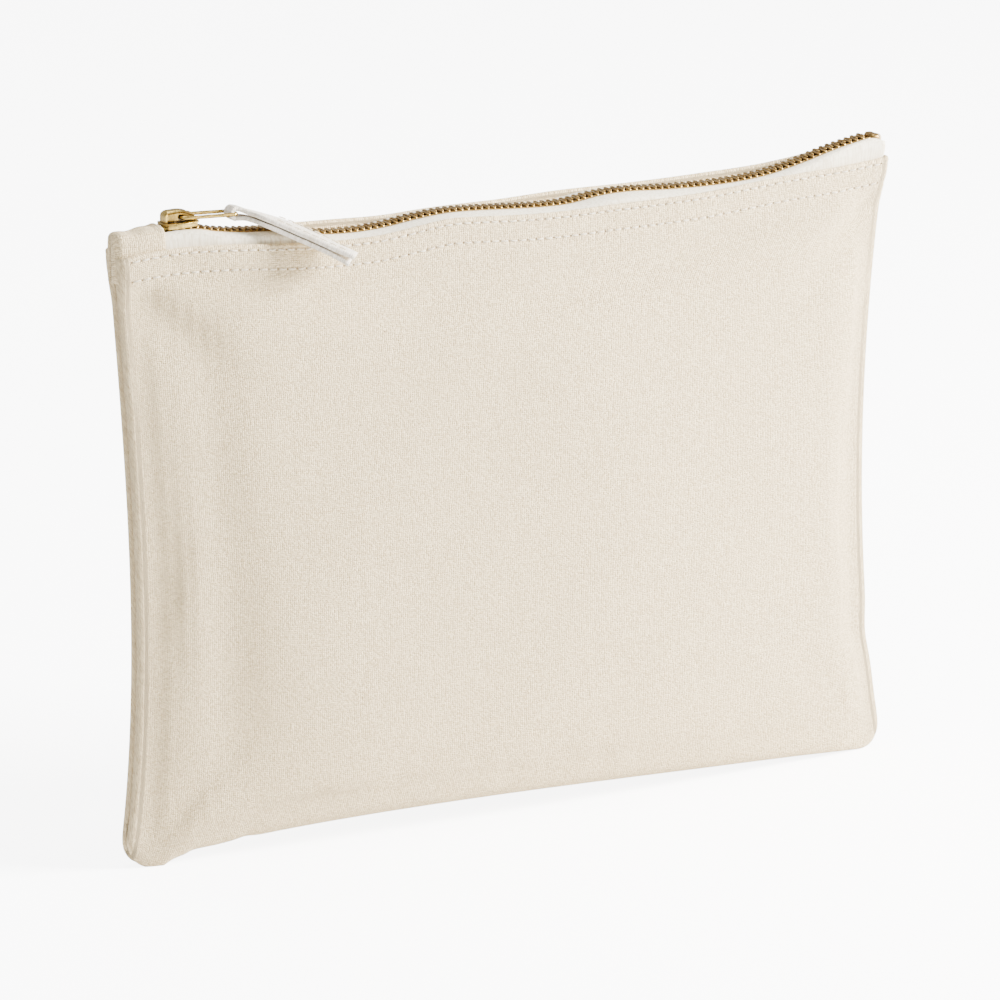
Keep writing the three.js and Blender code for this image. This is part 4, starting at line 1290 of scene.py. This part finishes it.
def make_cover():
    xs = np.concatenate([np.linspace(COVER_LEFT, COVER_FOLD - 0.6, 26),
                         COVER_FOLD - 0.6 + 0.6 * np.sin(np.linspace(0.3, math.pi / 2, 4))])
    under = COVER_FOLD - 0.6 + 0.6 * np.cos(np.linspace(0.4, math.pi / 2, 4))
    xs = np.concatenate([xs, under, np.linspace(COVER_FOLD - 1.6, COVER_FOLD - 4.5, 4)])
    lower = np.concatenate([np.zeros(26), 0.42 * (1 - np.cos(np.linspace(0.3, math.pi / 2, 4))),
                            0.42 + 0.42 * np.sin(np.linspace(0.4, math.pi / 2, 4)), np.full(4, 0.9)])
    angle = np.linspace(-1, 1, 31)
    rows = []
    xs = np.concatenate([[x for x, _, _ in COVER_END], xs])
    lower = np.concatenate([np.zeros(len(COVER_END)), lower])
    narrow = np.ones(len(xs))
    narrow[: len(COVER_END)] = [share for _, share, _ in COVER_END]
    dip = np.zeros(len(xs))
    dip[: len(COVER_END)] = [fall for _, _, fall in COVER_END]
    for x, sink, share, fall in zip(xs, lower, narrow, dip):
        front = (mouth_inside(-1, max(x, COVER_LEFT)) - 0.1) * share
        back = (mouth_inside(1, max(x, COVER_LEFT)) - 0.1) * share
        crown_line = float(np.interp(x, [-126, -118, -111.5], [183.7, 183.9, 184.9]))
        crown = crown_line + 0.2 * math.sin(x * 0.9) - fall
        low = min(fold_line(-1, x), fold_line(1, x)) - 7.0
        flat = np.sign(angle) * np.abs(angle) ** 0.9
        reach = np.where(angle < 0, front, back)
        y = np.clip(flat * 2.1, -1, 1) * (reach - 0.8 * sink * share)
        bend = np.clip((np.abs(flat) - 0.42) / 0.58, 0, 1)
        shoulder = 0.9 * np.clip(np.abs(flat) / 0.47, 0, 1) ** 3
        z = crown - shoulder - bend * (crown - 0.9 - low) - sink
        rows.append(np.column_stack([np.full(31, x), y, z]))
    grid = np.array(rows)
    run = np.concatenate([[0], np.cumsum(np.linalg.norm(np.diff(grid[10], axis=0), axis=1))])
    along = np.concatenate([[0], np.cumsum(np.linalg.norm(np.diff(grid[:, 15], axis=0), axis=1))])
    own_layer = np.full((len(xs), 31), 60.0)
    place = np.stack([*np.broadcast_arrays(along[:, None], run[None, :] + 1200, own_layer)], -1)
    piece = Piece("zip_end_cover_cloth").shell(grid, CLOTH * 0.85, place)
    item = piece.make(canvas, "pouch", "canvas", ["zip_end_cover"])
    return item


make_cover()

# %% [markdown]
# The slider is cast in one piece: an upper and a lower plate that narrow towards the closed teeth, joined at the wide
# end by a post that parts the two sides, with lips turned in along both edges to keep the tapes between them. It is
# built from rings, then its edges are rounded by a bevel. The stamped cap on top keeps the link.

# %% Slider body
SLIDER_Z = (slider_low[2] + slider_high[2]) / 2
HALF_LONG = (slider_high[0] - slider_low[0]) / 2
HALF_WIDE = (slider_high[1] - slider_low[1]) / 2
GAP_HALF = 1.5
PLATE = 0.8
PLATE_TOP = GAP_HALF + PLATE


def plate_outline(count=40):
    """The plate from above: wide and square at the post's end, narrower and round at the other."""
    angle = np.linspace(0, 2 * math.pi, count, endpoint=False)
    c, s = np.cos(angle), np.sin(angle)
    x = np.sign(c) * np.abs(c) ** 0.62 * HALF_LONG
    wide = np.interp(x, [-HALF_LONG, -0.2 * HALF_LONG, HALF_LONG], [1.0, 1.0, 0.80])
    y = np.sign(s) * np.abs(s) ** 0.5 * HALF_WIDE * wide
    return np.column_stack([x, y])


def plate(low, high):
    outline = plate_outline()
    rings = []
    middle, half = (low + high) / 2, (high - low) / 2
    for t in np.linspace(-1, 1, 7):
        edge = 1 - 0.07 * (1 - math.sqrt(1 - min(t * t, 1.0) * 0.98))
        rings.append(np.column_stack([outline * edge, np.full(len(outline), middle + t * half)]))
    return loft(np.array(rings) + (SLIDER_X, 0, SLIDER_Z))


def lip(side, low, high):
    """A turned-in edge beside a plate."""
    xs = np.linspace(-0.86, 0.80, 14)
    rings = []
    for k in xs:
        wide = np.interp(k, [-1, -0.2, 1], [1.0, 1.0, 0.80]) * HALF_WIDE
        inner_edge, outer_edge = side * (wide - 0.9), side * (wide - 0.06)
        ring = [(k * HALF_LONG, inner_edge, low), (k * HALF_LONG, outer_edge, low),
                (k * HALF_LONG, outer_edge, high), (k * HALF_LONG, inner_edge, high)]
        rings.append(ring)
    return loft(np.array(rings) + (SLIDER_X, 0, SLIDER_Z))


body = Piece("slider_plates")
body.add(*plate(GAP_HALF, PLATE_TOP))
body.add(*plate(-PLATE_TOP, -GAP_HALF))
for side in (-1, 1):
    body.add(*lip(side, 0.8, PLATE_TOP - 0.15))
    body.add(*lip(side, -PLATE_TOP + 0.15, -0.8))
post_x = slider_low[0] + 0.25
post_low = (post_x, -1.2, SLIDER_Z - GAP_HALF - 0.3)
post_high = (post_x + 3.0, 1.2, SLIDER_Z + GAP_HALF + 0.3)
body.add(*rounded_box(post_low, post_high, 0.2))
soften(body.make(slider_brass, "slider", "slider", ["slider_body"]), 0.14, 2)

# %% [markdown]
# An arched cap stands on the slider and holds the link, and under it a thin spring carries the pin that locks the
# slider. The cap is a strap bent along its side profile, closed by a wall on each side with a round hole for the
# link's near bar. The strap could be carved from a block, but following its profile keeps one thickness of metal.

# %% Slider cap and spring
cap_low, cap_high = cad("slider_cap")
joint_at = {j["name"]: np.array(j["pos_m"]) / MM for j in frame["joints"] if "pos_m" in j}
PIVOT = joint_at["link_swing"] - (0, SEAM_Y, 0)
FAR_BAR = joint_at["tab_swing"] - (0, SEAM_Y, 0)
CAP_X0, CAP_FOOT, CAP_TOP = cap_low[0], cap_low[2], cap_high[2]
CAP_WALL, CHEEK_WALL, LEAF_THICK = 0.62, 0.42, 0.22  # thickness of the strap, its side walls and the spring
CHEEK_HOLE = 0.95  # radius


def cheek(y, profile):
    """One side wall of the cap, with a round hole for the link's near bar."""
    hole_x, hole_z = PIVOT[0] - CAP_X0, PIVOT[2] - CAP_FOOT
    angle = np.linspace(0, 2 * math.pi, 41)
    outline = np.array([p for p in profile if p[1] > 0] + [(9.4, 0.05), (5.0, 0.05), (0.5, 0.05)])
    outline = np.concatenate([outline, outline[:1]])
    steps = np.linspace(0, 1, 30)[:, None]
    fine = np.concatenate([a + (b - a) * steps for a, b in zip(outline, outline[1:])])
    bearing = np.arctan2(fine[:, 1] - hole_z, fine[:, 0] - hole_x)
    rows = []
    for a in angle:
        near = int(np.argmin(np.abs(np.angle(np.exp(1j * (bearing - a))))))
        edge = fine[near]
        rim = np.array([hole_x + CHEEK_HOLE * math.cos(a), hole_z + CHEEK_HOLE * math.sin(a)])
        line = rim + (edge - rim) * np.array([0.0, 0.5, 1.0])[:, None] * 0.97
        rows.append(np.column_stack([CAP_X0 + line[:, 0], np.full(3, y), CAP_FOOT + line[:, 1]]))
    return np.array(rows)


def make_cap():
    """A bent strap, upright at the left and sloping away at the right, with a rounded crown."""
    rise = CAP_TOP - CAP_FOOT
    crown = rise - CAP_WALL / 2
    profile = [(0.31, -0.25), (0.31, 0.3 * rise), (0.36, 0.62 * rise), (0.95, 0.86 * rise), (2.1, crown),
               (4.4, crown), (6.3, 0.80 * rise), (8.0, 0.52 * rise), (9.3, 0.2 * rise), (9.69, -0.25)]
    x = through([(k, p[0]) for k, p in enumerate(profile)])
    z = through([(k, p[1]) for k, p in enumerate(profile)])
    steps = np.linspace(0, len(profile) - 1, 34)
    across = np.linspace(-1, 1, 13)
    half = (cap_high[1] - cap_low[1]) / 2
    rows = []
    for k in steps:
        narrow = 1 - 0.16 * float(ramp(k, 5.0, 9.0))
        drop = 0.55 * np.abs(across) ** 3
        rows.append(np.column_stack([CAP_X0 + x(k) + 0 * across, across * half * narrow,
                                     CAP_FOOT + z(k) - drop * float(bump(k, 4.2, 2.6))]))
    piece = Piece("slider_bridge").shell(np.array(rows), CAP_WALL)
    for side in (-1, 1):
        piece.shell(cheek(side * (half - CHEEK_WALL), profile), CHEEK_WALL)
    return soften(piece.make(slider_brass, "slider", "slider", ["slider_cap"]), 0.16, 2, 40)


make_cap()
spring_low, spring_high = cad("slider_lock_spring")
spring = Piece("lock_leaf")
leaf_x = np.linspace(spring_low[0], spring_high[0] - 0.2, 14)
leaf_z = spring_high[2] - 0.35 - 0.25 * np.sin(np.linspace(0, math.pi, 14))
leaf = np.stack([np.stack([leaf_x, np.full(14, y), leaf_z], -1) for y in np.linspace(-1.0, 1.0, 5)], 1)
spring.shell(leaf, LEAF_THICK)
pin_x = spring_high[0] - 0.8
spring.add(*rounded_box((pin_x, -0.9, spring_low[2]), (pin_x + 0.75, 0.9, leaf_z[-1]), 0.12))
spring.make(slider_brass, "slider", "slider", ["slider_lock_spring"])

# %% [markdown]
# The link is a loop of round brass wire, so it is a circle carried along a closed path with rounded corners. It lies
# nearly flat towards the closed teeth, with its near bar under the cap and its far bar inside the fold of the tab.

# %% Link
WIRE = 1.1
LINK_HALF = (cad("pull_link")[1][1] - cad("pull_link")[0][1]) / 2 - WIRE / 2
LINK_TAPER = 0.95


def make_link():
    length = float(np.linalg.norm(FAR_BAR - PIVOT))
    corner = 1.2
    centres = [(length - corner, LINK_HALF * LINK_TAPER - corner, 0), (corner, LINK_HALF - corner, 90),
               (corner, -LINK_HALF + corner, 180), (length - corner, -LINK_HALF * LINK_TAPER + corner, 270)]
    path = []
    for x, y, start in centres:
        for angle in np.radians(start + np.linspace(0, 90, 8)):
            path.append((x + corner * math.cos(angle), y + corner * math.sin(angle), 0.0))
    path = np.array(path)
    fine = []
    for a, b in zip(path, np.roll(path, -1, 0)):
        count = max(1, int(np.linalg.norm(b - a) / 1.2))
        fine += [a + (b - a) * k / count for k in range(count)]
    fine = np.array(fine)
    along = unit(FAR_BAR - PIVOT)
    side = np.array([0.0, 1.0, 0.0])
    placed = PIVOT + fine[:, :1] * along + fine[:, 1:2] * side
    piece = Piece("link_wire").add(*tube(placed, WIRE / 2, 12, closed=True, up=np.cross(side, along)))
    return piece.make(slider_brass, "link", "slider", ["pull_link"])


make_link()
print("link", np.round(PIVOT, 1), "to", np.round(FAR_BAR, 1))

# %% [markdown]
# The pull is a short strip of canvas folded round the link's far bar, so two layers leave it together, with a narrow
# dark gap between them. The strip widens away from the bar, sweeps forward over the front panel and droops under its
# own weight. Its cut end is square, with a few loose yarns at the corners.

# %% Pull tab
TAB_CLOTH = 1.2
TAB_LOOP = 1.5
TAB_GAP = 0.75
TAB_REACH = (28.0, -18.6, -13.1)
TAB_NARROW, TAB_WIDE = 3.8, 8.5
TAB_TILT = math.radians(11)  # how far its front edge hangs lower


def tab_centre(share):
    x, y, z = TAB_REACH
    return FAR_BAR + np.array((x * share, y * share**1.15, z * share**1.35))


def tab_frame(share):
    """Along, across and out of the strip at a share of its length."""
    share = max(share, 0.02)
    along = unit(tab_centre(min(share + 0.01, 1.0)) - tab_centre(share - 0.01))
    flat = np.array([0.0, 1.0, 0.0])
    across = unit(flat - along * (flat @ along))
    mostly = float(ramp(share, 0.0, 0.3))
    across = unit(flat * (1 - mostly) + across * mostly)
    out = unit(np.cross(along, across))
    tilt = TAB_TILT * float(ramp(share, 0.05, 0.6))
    across = across * math.cos(tilt) + out * math.sin(tilt)
    return along, across, unit(np.cross(along, across))


def tab_half(share):
    return (TAB_NARROW + (TAB_WIDE - TAB_NARROW) * float(ramp(share, 0.03, 0.32))) / 2


def tab_row(share, sign, count=13):
    closed = (TAB_GAP + TAB_CLOTH) / 2
    apart = closed + (TAB_LOOP - closed) * (1 - float(ramp(share, 0, 0.12)))
    apart += 0.35 * float(ramp(share, 0.8, 1.0)) * (1 if sign > 0 else 0.6)
    along, across, out = tab_frame(share)
    k = np.linspace(-1, 1, count)[:, None]
    edge = 0.16 * np.abs(k) ** 3
    return tab_centre(share) + across * k * tab_half(share) + out * (sign * (apart - edge))


def make_tab():
    out_rows = [tab_row(s, 1) for s in np.linspace(1, 0, 44)]
    turn_rows = []
    for angle in np.radians(np.linspace(90, 270, 15)[1:-1]):
        centre = FAR_BAR + (TAB_LOOP * math.cos(angle), 0, TAB_LOOP * math.sin(angle))
        turn_rows.append(centre + np.linspace(-1, 1, 13)[:, None] * (0, TAB_NARROW / 2, 0))
    back_rows = [tab_row(s, -1) for s in np.linspace(0, 0.985, 44)]
    grid = np.array(out_rows + turn_rows + back_rows)
    run = np.concatenate([[0], np.cumsum(np.linalg.norm(np.diff(grid[:, 6], axis=0), axis=1))])
    width = np.linspace(-1, 1, 13)[None, :] * TAB_WIDE / 2
    own_layer = np.full(grid.shape[:2], 70.0)
    place = np.stack([*np.broadcast_arrays(width + 30, run[:, None] + 1500, own_layer)], -1)
    item = Piece("tab_strip").shell(grid, TAB_CLOTH, place).make(tab_canvas, "tab", "canvas", ["pull_tab"])
    print("tab strip is", round(float(run[-1]), 1), "mm long, unfolded")
    return item


make_tab()


# %% [markdown]
# A line of stitches down each side keeps the folded tab together, and a few yarns have worked loose at its cut end.
# Both are short lengths of thread in one mesh. Their small random lifts and drifts keep them from looking ruled.


# %% Tab stitching and loose yarns
def make_tack():
    piece = Piece("tab_stitches")
    random = np.random.default_rng(SEED + 70)
    lift = TAB_GAP / 2 + TAB_CLOTH + 0.30
    for sign in (-1, 1):
        shares = np.linspace(0.36, 0.93, 9)
        for a, b in zip(shares[:-1], shares[1:]):
            ends = []
            for share in (a + 0.006, b - 0.006):
                _, across, out = tab_frame(share)
                rise = 0.35 * float(ramp(share, 0.8, 1.0))
                inset_at = sign * (tab_half(share) - 1.0)
                ends.append(tab_centre(share) + across * inset_at + out * (lift + rise - 0.06))
            _, _, out = tab_frame((a + b) / 2)
            piece.add(*capsule(*ends, 0.17, lift=0.08 + random.uniform(0, 0.03), normal=out))
    _, across, out = tab_frame(0.985)
    for sign in (-1, 1):
        for _ in range(5):
            corner = tab_centre(0.99) + across * sign * (tab_half(1.0) - random.uniform(0.1, 0.9))
            corner = corner + out * random.uniform(-1.0, 1.0)
            along, _, _ = tab_frame(0.99)
            drift = across * random.normal(0, 0.5) + out * random.normal(-0.3, 0.5)
            length = random.uniform(0.8, 1.9)
            t = np.linspace(0, 1, 5)[:, None]
            line = corner + along * length * t + drift * t**2
            piece.add(*tube(line, 0.07 * (1 - 0.6 * t[:, 0]), 5, up=(0.1, 0.2, 0.97)))
    return piece.make(thread_cotton, "tab", "thread", ["tab_tack"])


make_tack()

# %% [markdown]
# Before the end, the sizes of the frame and of the finished pouch are printed side by side. Cloth may stand a few
# millimetres proud of the frame, but no more.

# %% Sizes and finish
visual_box = [list(corner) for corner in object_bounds()]
for label, pair in (("frame", cad_box), ("pouch", visual_box)):
    print(label, [[round(v / MM, 1) for v in corner] for corner in pair])
